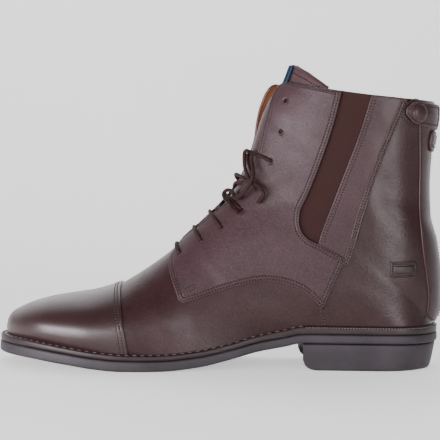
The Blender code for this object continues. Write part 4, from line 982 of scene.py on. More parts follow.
def cut_sheet(
    loop: Array, holes: list[Array], pitch: float, insets: Sequence[float]
) -> tuple[Array, Array, Array]:
    """Triangles of a plane outline with holes, on a staggered lattice with rows of points beside its edges.

    Args:
        loop: the closed outline.
        holes: closed outlines cut from it.
        pitch: the lattice's spacing.
        insets: distances from the edges at which rows of points stand.

    Returns:
        The plane points, the triangles, and each point's distance from the nearest edge of all.
    """
    loops = [loop, *holes]
    along = np.arange(loop[:, 0].min(), loop[:, 0].max(), pitch * 0.866)
    across = np.arange(loop[:, 1].min(), loop[:, 1].max(), pitch)
    x, y = np.meshgrid(along, across, indexing="ij")
    y = y + (np.arange(len(along)) % 2)[:, None] * pitch / 2
    lattice = np.stack([x.ravel(), y.ravel()], axis=1)
    lattice = lattice[within(lattice, loop)]
    for hole in holes:
        lattice = lattice[~within(lattice, hole)]
    lattice = lattice[edge_distance(lattice, loops) > insets[-1] + 0.45 * pitch]
    rows = []
    for ring in loops:
        run = np.roll(ring, -1, axis=0) - np.roll(ring, 1, axis=0)
        run /= np.maximum(np.linalg.norm(run, axis=1, keepdims=True), 1e-9)
        side = np.stack([-run[:, 1], run[:, 0]], axis=1)
        area = (ring[:, 0] * np.roll(ring[:, 1], -1) - np.roll(ring[:, 0], -1) * ring[:, 1]).sum()
        turn = math.copysign(1.0, area) * (1.0 if ring is loop else -1.0)
        for inset in insets:
            row = ring + side * turn * inset
            rows.append(row[edge_distance(row, loops) > inset * 0.93])
    corners, edges = [], []
    for ring in loops:
        first = len(corners)
        corners += ring.tolist()
        edges += [(first + k, first + (k + 1) % len(ring)) for k in range(len(ring))]
    corners += np.concatenate(rows + [lattice]).tolist()
    found = delaunay_2d_cdt([Vector(corner) for corner in corners], edges, [], 2, 1e-6)
    points = np.array([tuple(point) for point in found[0]])
    return points, np.array([tuple(face) for face in found[2]]), edge_distance(points, loops)


@dataclass
class Panel:
    """One overlay of leather, cloth or elastic laid on the form and cut to an outline."""

    name: str
    where: Lay
    outline: Array
    low: float = LAYER_GAP
    thickness: float = LEATHER
    base: float = -0.15
    pitch: float = 1.5
    edge_radius: float = 0.7
    holes: list[Array] = field(default_factory=list)
    puff: Callable[[Array, Array], Array] | None = None
    flare: Callable[[Array], Array] | None = None

    def build(self, form: Form, materials: list, under: int = 0) -> bpy.types.Object:
        """Cut, lay and close the piece: its top falls to the edge in a quarter round.

        Args:
            form: the surface it lies on.
            materials: materials in slot order.
            under: slot of the underside.

        Returns:
            The object.
        """
        radius = self.edge_radius
        insets = [0.12 * radius, 0.45 * radius, 1.05 * radius]
        loop = even(np.concatenate([self.outline, self.outline[:1]]), 1.1)[:-1]
        plane, faces, edge = cut_sheet(loop, self.holes, self.pitch, insets)
        inner = np.minimum(edge, radius)
        drop = radius - np.sqrt(np.maximum(radius**2 - (radius - inner) ** 2, 0))
        offset = self.low + self.thickness - np.minimum(drop, 0.8 * self.thickness)
        if self.puff is not None:
            offset = offset + self.puff(plane, edge)
        open_up = 0.0 if self.flare is None else self.flare(plane)
        top = to_world(form.lay(self.where, plane, offset + open_up))
        bottom = to_world(form.lay(self.where, plane, self.base + open_up + np.zeros(len(plane))))
        outward = form.outward(self.where, plane) * np.array([-1.0, 1.0, 1.0])
        fields = {"edge": edge_distance(plane, [loop]), "along": plane[:, 0], "across": plane[:, 1]}
        return shell(self.name, top, bottom, faces, materials, fields, under, 0, outward)


class Needle:
    """Sews rows of stitches: small rounded threads, with a near-black disc of painted shade at each needle
    hole between them.
    """

    def __init__(self, form: Form) -> None:
        """Keep the form and start with no stitches."""
        self.form = form
        self.seats: list[tuple[Array, Array, Array, float, float]] = []

    def row(self, where: Lay, path: Array, lift: float | Callable[[Array], Array], pitch: float = 1.9,
            width: float = 0.24) -> None:
        """Sew along a plane path.

        Args:
            where: the lay of the path.
            path: (along, across) places.
            lift: height of the leather's face over the form, or a function of the places.
            pitch: length of a stitch with its hole.
            width: half width of the thread.
        """
        fine = even(path, 0.5)
        points = self.form.lay(where, fine, lift(fine) if callable(lift) else lift)
        run = np.concatenate([[0.0], np.cumsum(np.linalg.norm(np.diff(points, axis=0), axis=1))])
        count = max(2, int(run[-1] / pitch))
        middle = (np.arange(count) + 0.5) * run[-1] / count
        centre = np.stack([np.interp(middle, run, points[:, k]) for k in range(3)], axis=1)
        ahead = np.stack([np.interp(middle + 0.4, run, points[:, k]) for k in range(3)], axis=1)
        behind = np.stack([np.interp(middle - 0.4, run, points[:, k]) for k in range(3)], axis=1)
        places = np.stack([np.interp(middle, run, fine[:, k]) for k in range(2)], axis=1)
        self.seat(centre, ahead - behind, self.form.outward(where, places), run[-1] / count, width)

    def seat(self, centre: Array, run: Array, normal: Array, pitch: float, width: float) -> None:
        """Add stitches at given places, in side-view millimetres."""
        run = run / np.maximum(np.linalg.norm(run, axis=1, keepdims=True), 1e-9)
        self.seats.append((centre, run, normal, pitch, width))

    def sew(self, name: str, thread: bpy.types.Material, hole: bpy.types.Material) -> None:
        """Make the threads of all rows, and the near-black discs of painted shade laid in their needle holes,
        as two pieces.

        Args:
            name: the threads' name.
            thread: the thread's material.
            hole: the material of the painted-shade discs in the needle holes.
        """
        turn = np.linspace(0, 2 * math.pi, 6, endpoint=False)
        ring = np.stack([np.cos(turn), np.sin(turn)], axis=1)
        threads, holes = [], []
        for centre, run, normal, pitch, width in self.seats:
            side = np.cross(normal, run)
            side /= np.maximum(np.linalg.norm(side, axis=1, keepdims=True), 1e-9)
            half = 0.5 * pitch - 0.38
            shape = [(-half, 0.35), (-half * 0.55, 1.0), (half * 0.55, 1.0), (half, 0.35)]
            body = np.stack([
                centre[:, None] + t * run[:, None] + ring[None, :, :1] * width * scale * side[:, None]
                + (ring[None, :, 1:] * width * scale * 0.8 + 0.06 * scale) * normal[:, None]
                for t, scale in shape
            ], axis=1)
            threads.append(body)
            # painted shade: a flat near-black disc on the face at each needle hole, standing for the hole's
            # shade
            mouth = centre + 0.5 * pitch * run
            holes.append(
                mouth[:, None] + ring[None, :, :1] * 0.50 * run[:, None]
                + ring[None, :, 1:] * 0.42 * side[:, None] + 0.07 * normal[:, None]
            )
        bodies = np.concatenate(threads)
        quads = grid(4, 6, True)
        caps = [list(range(5, -1, -1)), list(range(18, 24))]
        faces = []
        first = np.arange(len(bodies)) * 24
        faces += (quads[None] + first[:, None, None]).reshape(-1, 4).tolist()
        faces += (np.array(caps)[None] + first[:, None, None]).reshape(-1, 6).tolist()
        keep(name, to_world(bodies), faces, [thread])
        # the needle-hole discs of painted shade, kept as their own piece
        mouths = np.concatenate(holes)
        normals = np.concatenate([normal for _, _, normal, _, _ in self.seats])
        lower = mouths - 0.12 * np.repeat(normals[:, None], 6, axis=1)
        both = np.stack([mouths, lower], axis=1)
        first = np.arange(len(mouths)) * 12
        faces = (grid(2, 6, True)[None] + first[:, None, None]).reshape(-1, 4).tolist()
        lids = np.array([list(range(6)), list(range(11, 5, -1))])
        faces += (lids[None] + first[:, None, None]).reshape(-1, 6).tolist()
        keep(f"{name}_holes", to_world(both), faces, [hole], merge=False)


def tube(path: Array, radius: float | Array, sides: int = 12) -> tuple[Array, list, Array, Array]:
    """Round tube along a path: a ring square to the path at each point, carried without twist.

    Args:
        path: (N, 3) points.
        radius: one radius or one for each point.
        sides: points of a ring.

    Returns:
        Points, faces, the turn angle and the run of each point.
    """
    run = np.gradient(path, axis=0)
    run /= np.maximum(np.linalg.norm(run, axis=1, keepdims=True), 1e-12)
    frame = np.empty_like(run)
    guess = np.cross(run[0], (0.0, 0.0, 1.0))
    frame[0] = guess / max(float(np.linalg.norm(guess)), 1e-9)
    for k in range(1, len(path)):
        carried = frame[k - 1] - run[k] * float(np.dot(frame[k - 1], run[k]))
        frame[k] = carried / np.linalg.norm(carried)
    other = np.cross(run, frame)
    turn = np.linspace(0, 2 * math.pi, sides, endpoint=False)
    wide = np.broadcast_to(np.asarray(radius, float), (len(path),))[:, None, None]
    spoke = np.cos(turn)[None, :, None] * frame[:, None] + np.sin(turn)[None, :, None] * other[:, None]
    points = path[:, None] + wide * spoke
    faces = grid(len(path), sides, True)[:, ::-1].tolist()
    faces.append(list(range(sides)))
    faces.append(list(range(len(path) * sides - 1, (len(path) - 1) * sides - 1, -1)))
    length = np.concatenate([[0.0], np.cumsum(np.linalg.norm(np.diff(path, axis=0), axis=1))])
    return points.reshape(-1, 3), faces, np.tile(turn, len(path)), np.repeat(length, sides)


def cord_piece(name: str, path_mm: Array, radius: float | Array,
               material: bpy.types.Material) -> bpy.types.Object:
    """A braided cord along side-view millimetre points."""
    points, faces, turn, run = tube(path_mm, radius)
    fields = {"turn": turn, "along": run}
    piece = keep(name, to_world(points), faces, [material], fields=fields, merge=True)
    return piece


@dataclass
class Studio:
    """Camera of the photograph, pale floor and soft lights."""

    across: float = -0.0984
    distance: float = 0.9
    height: float = 0.1393
    yaw: float = -0.0052
    pitch: float = -0.0472
    roll: float = 0.0142
    lens: float = 108.76
    aim: float = 0.09

    def build(self) -> None:
        """Set up the camera, the world, the floor and three soft lights."""
        scene = bpy.context.scene
        eye = bpy.data.cameras.new("camera")
        eye.lens, eye.sensor_width = self.lens, 36.0
        camera = bpy.data.objects.new("camera", eye)
        scene.collection.objects.link(camera)
        camera.location = (self.across, -self.distance, self.height)
        flat = math.cos(self.pitch)
        look = Vector((math.sin(self.yaw) * flat, math.cos(self.yaw) * flat, math.sin(self.pitch)))
        camera.rotation_euler = look.to_track_quat("-Z", "Y").to_euler()
        camera.rotation_euler.rotate_axis("Z", self.roll)
        scene.camera = camera
        world = bpy.data.worlds.new("studio")
        world.use_nodes = True
        world.node_tree.nodes["Background"].inputs[0].default_value = (1.0, 0.95, 1.0, 1.0)
        world.node_tree.nodes["Background"].inputs[1].default_value = 0.20
        scene.world = world
        paint = Paint("floor_paper")
        floor_material = paint.finish(
            Base_Color=paint.mix(paint.noise(3.0), (0.90, 0.90, 0.90), (0.93, 0.93, 0.93)), Roughness=0.9,
            Emission_Color=(1.0, 1.0, 1.0, 1.0), Emission_Strength=0.6,
        )
        sweep = np.linspace(0, math.pi / 2, 25)
        along = np.concatenate([[-4.0], 0.5 + 0.9 * np.sin(sweep), [1.4]])
        height = np.concatenate([[0.0], 0.9 * (1 - np.cos(sweep)), [4.0]])
        across = np.array([-4.0, 4.0])
        corners = np.stack(np.broadcast_arrays(across[None, :], along[:, None], height[:, None]), axis=2)
        mesh = bpy.data.meshes.new("floor")
        mesh.from_pydata(corners.reshape(-1, 3).tolist(), [], grid(len(along), 2).tolist())
        mesh.polygons.foreach_set("use_smooth", np.ones(len(mesh.polygons), bool))
        mesh.materials.append(floor_material)
        floor = bpy.data.objects.new("floor", mesh)
        scene.collection.objects.link(floor)
        self.light("key", (-1.05, -0.95, 0.15), (1.4, 0.29), 42.0)
        self.light("front", (0.1, -1.9, 0.7), (2.6, 1.4), 8.0)
        self.light("fill", (0.62, -1.15, 0.16), (0.5, 0.3), 8.0)
        self.light("top", (0.0, 0.9, 1.6), (1.2, 1.0), 5.0)

    def light(self, name: str, place: tuple[float, float, float], size: tuple[float, float],
              power: float) -> None:
        """Soft oblong light that looks at the boot.

        Args:
            name: the light's name.
            place: where it stands.
            size: its width and height.
            power: its watts.
        """
        lamp = bpy.data.lights.new(name, "AREA")
        lamp.shape = "RECTANGLE"
        lamp.size, lamp.size_y, lamp.energy = *size, power
        lamp.color = (1.0, 0.96, 1.0)
        made = bpy.data.objects.new(name, lamp)
        bpy.context.scene.collection.objects.link(made)
        made.location = place
        towards = Vector((self.across, 0.0, self.aim)) - Vector(place)
        made.rotation_euler = towards.to_track_quat("-Z", "Y").to_euler()


@dataclass
class Sole:
    """Outsole, welt, heel and insole with their edge work."""

    wardrobe: Wardrobe
    stations: int = 260
    bridge_columns: int = 10

    def half_outline(self, side: int, ledge: float, toe: float, heel: float,
                     stop: float | None = None) -> Array:
        """Plan curve of one side from the heel's back to the toe, at an even pitch, with its outward normals.

        Args:
            side: minus one for lateral, one for medial.
            ledge: share of the ledge drawn in.
            toe: millimetres drawn in at the toe.
            heel: millimetres drawn in at the heel.
            stop: where it ends instead of at the toe.

        Returns:
            (N, 4) rows of s, y and the normal's two parts.
        """
        start, end = 1 + heel, stop or LENGTH - toe
        turn = np.linspace(0, math.pi / 2 if stop else math.pi, 3000)
        s = start + (end - start) * ((1 - np.cos(turn)) if stop else (1 - np.cos(turn)) / 2)
        points = np.stack([s, side * half_width(side, s, ledge, toe, heel)], axis=1)
        run = np.concatenate([[0.0], np.cumsum(np.linalg.norm(np.diff(points, axis=0), axis=1))])
        places = np.linspace(0, run[-1], self.stations)
        points = np.stack([np.interp(places, run, points[:, k]) for k in range(2)], axis=1)
        step = np.gradient(points, axis=0)
        step[0] = (0.0, side)
        if stop is None:
            step[-1] = (0.0, -side)
        step /= np.linalg.norm(step, axis=1, keepdims=True)
        return np.concatenate([points, np.stack([-side * step[:, 1], side * step[:, 0]], axis=1)], axis=1)

    def block(self, name: str, edges: dict[int, Array], material: bpy.types.Material,
              capped: bool) -> bpy.types.Object:
        """Closed layer: side profiles at both edges, bridged over its top and underside.

        Args:
            name: the piece's name.
            edges: for each side, (stations, profile, 3) points from the lowest to the highest.
            material: its material.
            capped: whether the last station is closed by a flat face.

        Returns:
            The object.
        """
        share = np.linspace(0, 1, self.bridge_columns + 2)[1:-1][None, :, None]
        lateral, medial = edges[-1], edges[1]
        over = lateral[:, -1:] * (1 - share) + medial[:, -1:] * share
        under = medial[:, :1] * (1 - share) + lateral[:, :1] * share
        ring = np.concatenate([lateral, over, medial[:, ::-1], under], axis=1)
        count = ring.shape[1]
        faces = grid(ring.shape[0], count, True).tolist()
        if capped:
            faces.append(list(range((ring.shape[0] - 1) * count, ring.shape[0] * count)))
        return keep(name, to_world(ring), faces, [material], merge=True)

    def layer(self, name: str, low: Callable[[Array], Array], high: Callable[[Array], Array],
              profile: Array, plan: tuple[float, float, float],
              material: bpy.types.Material) -> bpy.types.Object:
        """A layer with one side profile all round.

        Args:
            name: the piece's name.
            low: height of its underside.
            high: height of its top.
            profile: rows of inset, share of the height and extra height, from the lowest to the highest.
            plan: share of the ledge, toe and heel millimetres drawn in.
            material: its material.

        Returns:
            The object.
        """
        edges = {}
        for side in (-1, 1):
            outline = self.half_outline(side, *plan)
            s, y, ns, ny = (outline[:, k, None] for k in range(4))
            inset, share, extra = (profile[None, :, k] for k in range(3))
            z = low(s) + (high(s) - low(s)) * share + extra
            edges[side] = np.stack(np.broadcast_arrays(s - ns * inset, y - ny * inset, z), axis=2)
        return self.block(name, edges, material, False)

    def build(self, needle: Needle) -> None:
        """Make the four layers and sew the welt."""
        def low(s: Array) -> Array:
            """Height of the sole's underside."""
            return level("underside", s)

        def middle(s: Array) -> Array:
            """Height of the seam between outsole and welt."""
            return level("seam", s)

        def high(s: Array) -> Array:
            """Height of the welt's top."""
            return level("rim", s)

        outsole = np.array([
            (14.0, 0.0, 0.0), (4.5, 0.0, 0.0), (1.6, 0.0, 0.0), (0.7, 0.0, 0.25), (0.15, 0.0, 0.9),
            (0.0, 0.0, 1.7), (0.0, 0.45, 0.0), (0.05, 1.0, -1.2), (0.2, 1.0, -0.7), (0.7, 1.0, -0.3),
            (1.3, 1.0, -0.1), (6.0, 1.0, -0.1),
        ])
        piece = self.layer("outsole_rubber", low, middle, outsole, (0.0, 0.0, 0.0), self.wardrobe.rubber)
        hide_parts("outsole")
        welt = np.array([
            (6.0, 0.0, -0.05), (1.1, 0.0, -0.05), (0.5, 0.0, 0.15), (0.12, 0.0, 0.6), (0.0, 0.0, 1.1),
            (0.0, 1.0, -1.2), (0.15, 1.0, -0.6), (0.5, 1.0, -0.2), (0.95, 1.0, 0.0), (1.35, 1.0, -0.05),
            (1.75, 1.0, -0.38), (2.15, 1.0, -0.05), (2.6, 1.0, 0.0), (9.0, 1.0, 0.0),
        ])
        piece = self.layer("welt_leather", middle, high, welt, (0.12, 0.4, 0.3), self.wardrobe.welt)
        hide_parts("welt")
        board = np.array([(6.0, 0.0, 0.45), (2.7, 0.0, 0.6), (2.7, 0.0, 2.3), (3.1, 0.0, 2.6),
                          (6.0, 0.0, 2.6)])
        piece = self.layer("insole_board", high, high, board, (1.0, 7.2, 4.2), self.wardrobe.board)
        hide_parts("insole")
        self.heel()
        self.edge_work(needle)

    def heel(self) -> None:
        """Heel block: stacked outlines that draw in toward the floor, its breast rounded below."""
        levels = np.array([
            (0.0, 7.9, 82.0, 3.6), (0.0, 7.6, 83.0, 3.2), (0.25, 6.7, 85.6, 2.6), (0.9, 6.0, 87.8, 2.2),
            (2.0, 5.4, 90.2, 2.0), (3.6, 4.9, 91.8, 1.9), (7.0, 4.2, 93.2, 1.6), (12.0, 3.3, 93.4, 1.1),
            (16.6, 2.5, 93.5, 0.6), (17.25, 2.6, 93.4, 0.7), (17.6, 3.0, 93.1, 1.0),
        ])
        edges = {}
        for side in (-1, 1):
            outline = self.half_outline(side, 0.0, 0.0, 0.0, 92.0)
            share = (outline[:, 0] - outline[0, 0]) / (outline[-1, 0] - outline[0, 0])
            s = levels[None, :, 1] + share[:, None] * (levels[None, :, 2] - levels[None, :, 1])
            width = half_width(side, s - levels[None, :, 1] + 1.0)
            y = side * np.maximum(width - levels[None, :, 3] * np.clip(share[:, None] * 9, 0, 1), 0)
            edges[side] = np.stack([s, y, np.broadcast_to(levels[None, :, 0], s.shape)], axis=2)
        piece = self.block("heel_rubber", edges, self.wardrobe.rubber, True)
        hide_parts("heel")

    def edge_work(self, needle: Needle) -> None:
        """Welt stitches on the ledge of the forefoot and a fine wheeled line round waist and heel."""
        for side in (-1, 1):
            outline = self.half_outline(side, 0.12, 0.4, 0.3)
            run = np.concatenate([[0.0], np.cumsum(np.linalg.norm(np.diff(outline[:, :2], axis=0), axis=1))])
            for start, end, pitch, inset, drop, width, up in (
                (92.0, 400.0, 5.2, 1.75, 0.0, 0.34, 1.0), (1.0, 92.0, 1.9, 0.02, -0.95, 0.30, 0.0),
            ):
                first, last = np.interp([start, end], outline[:, 0], run)
                count = int((last - first) / pitch)
                spots = first + (np.arange(count) + 0.5) * (last - first) / count
                s, y, ns, ny = (np.interp(spots, run, outline[:, k]) for k in range(4))
                centre = np.stack([s - ns * inset, y - ny * inset, level("rim", s) + drop], axis=1)
                ahead = np.stack([np.interp(spots + 0.5, run, outline[:, k]) for k in range(2)]
                                 + [level("rim", np.interp(spots + 0.5, run, outline[:, 0]))], axis=1)
                base = np.stack([s, y, level("rim", s)], axis=1)
                normal = np.stack([ns * (1 - up), ny * (1 - up), np.full(len(s), up)], axis=1)
                needle.seat(centre, ahead - base, normal, pitch * (0.66 if up else 1.0), width)


@dataclass
class Upper:
    """Skin, overlays, gores, strips, tongue and their stitching."""

    form: Form
    wardrobe: Wardrobe
    rows: int = 190
    side_columns: int = 62

    def throat_edge(self, row: Array) -> Array:
        """Arc from the front line to the inner edge of the skin."""
        return np.minimum(np.interp(row, THROAT[:, 0], THROAT[:, 1]), 0.35 * self.form.full(row, -1))

    def facing(self, row: Array, side: int) -> Array:
        """Half gap of the throat at rows."""
        arc = smooth(row, FACING[:, 0], FACING[:, 1])
        return arc if side < 0 else MEDIAL_FACING * arc

    def open_up(self, plane: Array) -> Array:
        """The far facing stands open toward the collar, so that its lining shows past the near one."""
        row = self.form.row(plane[:, 0])
        edge = self.facing(row, 1)
        rise = np.clip((row - 18.4) / 3.0, 0, 1)
        return 2.8 * rise**2 * (3 - 2 * rise) * np.exp(-(((plane[:, 1] - edge) / 12.0) ** 2))

    def face(self, where: Lay) -> Callable[[Array], Array]:
        """Height of a quarter's face over the form, as a function of the places."""
        def height(plane: Array) -> Array:
            """Overlay's height, raised where the far facing stands open."""
            return OVER + (self.open_up(plane) if where is Lay.MEDIAL else np.zeros(len(plane)))

        return height

    def eyelets(self, side: int) -> Array:
        """Row and arc of each eyelet of a side."""
        arc = EYELETS[:, 1]
        if side > 0:
            arc = arc - self.facing(EYELETS[:, 0], -1) + self.facing(EYELETS[:, 0], 1)
        return np.stack([EYELETS[:, 0], arc], axis=1)

    def gore_loop(self, side: int, grow: float) -> Array:
        """The gore window's outline, grown outward, as places."""
        front, rear = bend(GORE_FRONT[1:]), bend(GORE_REAR)
        front, rear = shift(front, -grow), shift(rear, -grow)
        return self.form.trace(np.concatenate([front, rear]), side, -0.5, 25.99)

    def skin(self) -> None:
        """Vamp, counter and shaft as one hollow skin, sunk behind the gores and run under the welt's top."""
        form = self.form
        rows = np.concatenate([np.linspace(0, 1, 18)[:-1] ** 1.7 * 2.0,
                               np.linspace(2.0, COLLAR_ROW, self.rows)])
        inner = self.throat_edge(rows)
        t = np.linspace(0, 1, self.side_columns)[None, :]
        middle = np.linspace(1, 0, 9)[None, 1:]
        arcs, sides = [], []
        for side in (-1, 1):
            full = form.full(rows, side)[:, None]
            arc = np.concatenate([full - (full - inner[:, None]) * t, inner[:, None] * middle], axis=1)
            arcs.append(arc)
            sides.append(np.full(arc.shape, side))
        arc = np.concatenate([arcs[0], arcs[1][:, -2::-1]], axis=1)
        side = np.concatenate([sides[0], sides[1][:, -2::-1]], axis=1)
        row = np.broadcast_to(rows[:, None], arc.shape)
        offset = np.zeros(arc.shape)
        for which in (-1, 1):
            loop = self.gore_loop(which, 0.0)
            plane = np.stack([form.along(row), arc], axis=2).reshape(-1, 2)
            near = (side.ravel() == which) & (plane[:, 0] > loop[:, 0].min() - 8)
            depth = np.zeros(len(plane))
            gap = edge_distance(plane[near], [loop]) * np.where(within(plane[near], loop), -1.0, 1.0)
            depth[near] = -2.3 * np.clip((3.6 - gap) / 2.0, 0, 1)
            offset += depth.reshape(arc.shape)
        below = (COLLAR_ROW - row) * 7.0
        offset = offset - 0.7 * np.clip(1 - below / 0.9, 0, 1) ** 2
        points = form.at(row, arc, side, offset)
        first, last = points[:, :1].copy(), points[:, -1:].copy()
        tuck = np.where(rows < HEEL_BACK_ROW, 1.3, 0.0)[:, None]
        first[..., 2] -= tuck
        last[..., 2] -= tuck
        points = np.concatenate([first, points, last], axis=1)
        columns = points.shape[1]
        points[0, :, 1] = 0.0
        faces = grid(len(rows), columns)
        i, j = faces[:, 0] // columns, faces[:, 0] % columns
        edge = self.side_columns
        open_throat = (rows[i] >= 11.4) & (j >= edge) & (j < columns - 1 - edge)
        faces = faces[~open_throat]
        piece = keep("upper_skin", to_world(points), faces.tolist(),
                     [self.wardrobe.vamp, self.wardrobe.lining],
                     fields={"edge": np.full(points.shape[:2], 9.0)}, merge=True)
        wall = piece.modifiers.new("wall", "SOLIDIFY")
        wall.thickness, wall.offset = WALL * MM, -1.0
        wall.use_even_offset, wall.use_quality_normals = True, True
        wall.material_offset = 1
        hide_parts("upper")

    def toe_cap(self, needle: Needle) -> None:
        """Toe cap from the welt over the toe to its seam, with two rows of stitches."""
        form = self.form
        rows = np.concatenate([np.linspace(0, 1, 18)[:-1] ** 1.7 * 2.0, np.linspace(2.0, CAP_ROW, 70)])
        seam = form.along(CAP_ROW)
        close = form.row(seam - np.array([0.75, 0.45, 0.2, 0.06]))
        rows = np.unique(np.concatenate([rows, close]))
        arcs, sides = [], []
        for side in (-1, 1):
            full = form.full(rows, side)[:, None]
            arc = full * (1 - np.linspace(0, 1, 70)[None, :])
            arcs.append(arc)
            sides.append(np.full(arc.shape, side))
        arc = np.concatenate([arcs[0], arcs[1][:, -2::-1]], axis=1)
        side = np.concatenate([sides[0], sides[1][:, -2::-1]], axis=1)
        row = np.broadcast_to(rows[:, None], arc.shape)
        gap = seam - form.along(row)
        drop = 0.7 - np.sqrt(0.49 - (0.7 - np.minimum(gap, 0.7)) ** 2)
        top = form.at(row, arc, side, OVER - drop)
        bottom = form.at(row, arc, side, -0.1)
        for sheet in (top, bottom):
            sheet[:, [0, -1], 2] -= 1.6
            sheet[0, :, 1] = 0.0
        count = top.shape[0] * top.shape[1]
        faces = grid(*top.shape[:2])
        outward = form.read(row, arc, side)[1].reshape(-1, 3) * np.array([-1.0, 1.0, 1.0])
        piece = shell("toe_cap_leather", to_world(top).reshape(-1, 3), to_world(bottom).reshape(-1, 3), faces,
                      [self.wardrobe.cap], {"edge": gap.reshape(count)}, outward=outward, merge=True)
        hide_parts("toe_cap")
        for where in (Lay.LATERAL, Lay.MEDIAL):
            full = float(form.full(np.array(CAP_ROW), where.value))
            across = np.linspace(0.3, full - 0.5, 60)
            for distance in (2.0, 3.9):
                path = np.stack([np.full(60, seam - distance), across], axis=1)
                needle.row(where, path, OVER)

    def quarter(self, where: Lay, needle: Needle) -> None:
        """Front quarter with its lace facing, eyelets, gore edge and the pointed seam on the vamp."""
        form, side = self.form, where.value
        front = form.trace(bend(QUARTER_FRONT), side, OVER)
        lower = form.trace(bend(QUARTER_LOWER), side, OVER)
        rear = form.trace(bend(QUARTER_REAR), side, OVER)
        top = form.trace(bend(QUARTER_TOP), side, OVER)
        gore = form.trace(bend(GORE_FRONT), side, OVER)
        rows = np.linspace(24.9 if where is Lay.LATERAL else 23.7, 12.0, 90)
        facing = np.stack([form.along(rows), self.facing(rows, side)], axis=1)
        front[:, 1] = np.maximum(front[:, 1], np.interp(front[:, 0], facing[::-1, 0], facing[::-1, 1]) * 0.98)
        high = float(self.facing(np.array(25.0), side))
        rounded = FAR_CORNER if where is Lay.MEDIAL else NEAR_CORNER
        corner = bend([(form.along(row), high + arc) for row, arc in rounded])
        start = float(facing[-1, 0])
        front = front[front[:, 0] < start - 0.6]
        outline = np.concatenate([front, lower, rear[1:], top[1:], gore[1:], corner, facing])
        holes = []
        turn = np.linspace(0, 2 * math.pi, 20, endpoint=False)
        for row, arc in self.eyelets(side):
            here = form.at(np.array([row, row + 0.1]), arc, side, OVER, False)
            stretch = float(np.linalg.norm(here[1] - here[0])) / 0.1
            plane_step = float(form.along(row + 0.1) - form.along(row)) / 0.1
            holes.append(np.stack([form.along(row) + EYELET_RADIUS * np.cos(turn) * plane_step / stretch,
                                   arc + EYELET_RADIUS * np.sin(turn)], axis=1))
        label = where.name.lower()
        piece = Panel(f"quarter_leather_{label}", where, outline, holes=holes,
                      flare=self.open_up if where is Lay.MEDIAL else None).build(
            form, [self.wardrobe.quarter, self.wardrobe.lining], 1)
        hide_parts(f"quarter_{label}")
        for distance in (1.25, 3.3):
            seam = shift(bend(QUARTER_LOWER), -distance)[2:-1]
            needle.row(where, form.trace(seam, side, OVER), OVER)
            gore_row = shift(bend(QUARTER_TOP[:-1] + GORE_FRONT), -distance)
            needle.row(where, form.trace(gore_row, side, OVER, 25.8), OVER)
            needle.row(where, form.trace(shift(bend(QUARTER_REAR), -distance), side, OVER), OVER)
        for distance in (1.4, 3.3):
            needle.row(where, form.trace(shift(bend(QUARTER_FRONT), -distance)[16:-3], side, OVER), OVER)
        edge = facing + np.array([0.0, 1.4])
        turned = FAR_BOW if where is Lay.MEDIAL else NEAR_BOW
        bow = bend([(form.along(row), high + arc) for row, arc in turned] + [tuple(edge[0])])
        reach = np.linspace(high + turned[0][1], float(gore[-1, 1]) - 1.5, 30)
        collar = np.stack([np.full(30, form.along(turned[0][0])), reach], axis=1)
        needle.row(where, np.concatenate([collar[::-1], bow[1:], edge[1:]]), self.face(where))
        tack = bend([(168.6, 51.6), (165.9, 53.0), (164.6, 54.9), (165.6, 56.2), (167.9, 55.2),
                     (170.6, 53.6)], 0.8)
        needle.row(where, form.trace(tack, side, OVER), OVER, 1.6)
        needle.row(where, form.trace(shift(bend(VAMP_END), 1.1), side), 0.05)
        self.eyelet_rings(where)

    def eyelet_rings(self, where: Lay) -> None:
        """Thin rolled rims of a side's punched holes, and a near-black disc of painted shade sunk in each
        hole.
        """
        form, side = self.form, where.value
        rims, well_shades = [], []
        turn = np.linspace(0, 2 * math.pi, 24, endpoint=False)
        tip = np.linspace(0, 2 * math.pi, 8, endpoint=False)
        for row, arc in self.eyelets(side):
            axis = form.read(np.array([row]), np.array([arc]), side)[1][0]
            lift = self.face(where)(np.array([[float(form.along(row)), arc]]))
            centre = form.at(np.array([row]), np.array([arc]), side, lift)[0]
            first = np.cross(axis, (0.0, 0.0, 1.0))
            first /= np.linalg.norm(first)
            second = np.cross(axis, first)
            out = np.cos(turn)[:, None] * first + np.sin(turn)[:, None] * second
            reach = 1.84 + 0.20 * np.cos(tip)
            rise = 0.24 * np.sin(tip)
            rims.append(centre + out[:, None] * reach[None, :, None] + axis * rise[None, :, None])
            # painted shade: a near-black disc sunk in each hole, where the hole's own shade falls
            disc = np.stack([out * 0.02, out * 1.82, out * 1.82 - axis * 0.3, out * 0.02 - axis * 0.3],
                            axis=1)
            well_shades.append(centre - axis * 0.55 + disc)
        label = where.name.lower()
        for name, parts, wide, material in (("eyelet_rims", rims, 8, self.wardrobe.ring),
                                            ("eyelet_wells", well_shades, 4, self.wardrobe.hole)):
            points = np.stack(parts)
            faces = []
            ring = grid(25, wide, True)
            ring = ring % (24 * wide)
            for k in range(len(points)):
                faces += (ring + k * 24 * wide).tolist()
            piece = keep(f"{name}_{label}", to_world(points), faces, [material], merge=True)

    def gore(self, where: Lay) -> None:
        """Elastic gore, sunk between the quarter and the rear facing."""
        loop = self.gore_loop(where.value, 1.6)
        panel = Panel(f"gore_elastic_{where.name.lower()}", where, loop, -1.6, 1.1, -1.9, 1.5, 0.15)
        piece = panel.build(self.form, [self.wardrobe.elastic])
        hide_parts(f"gore_{where.name.lower()}")

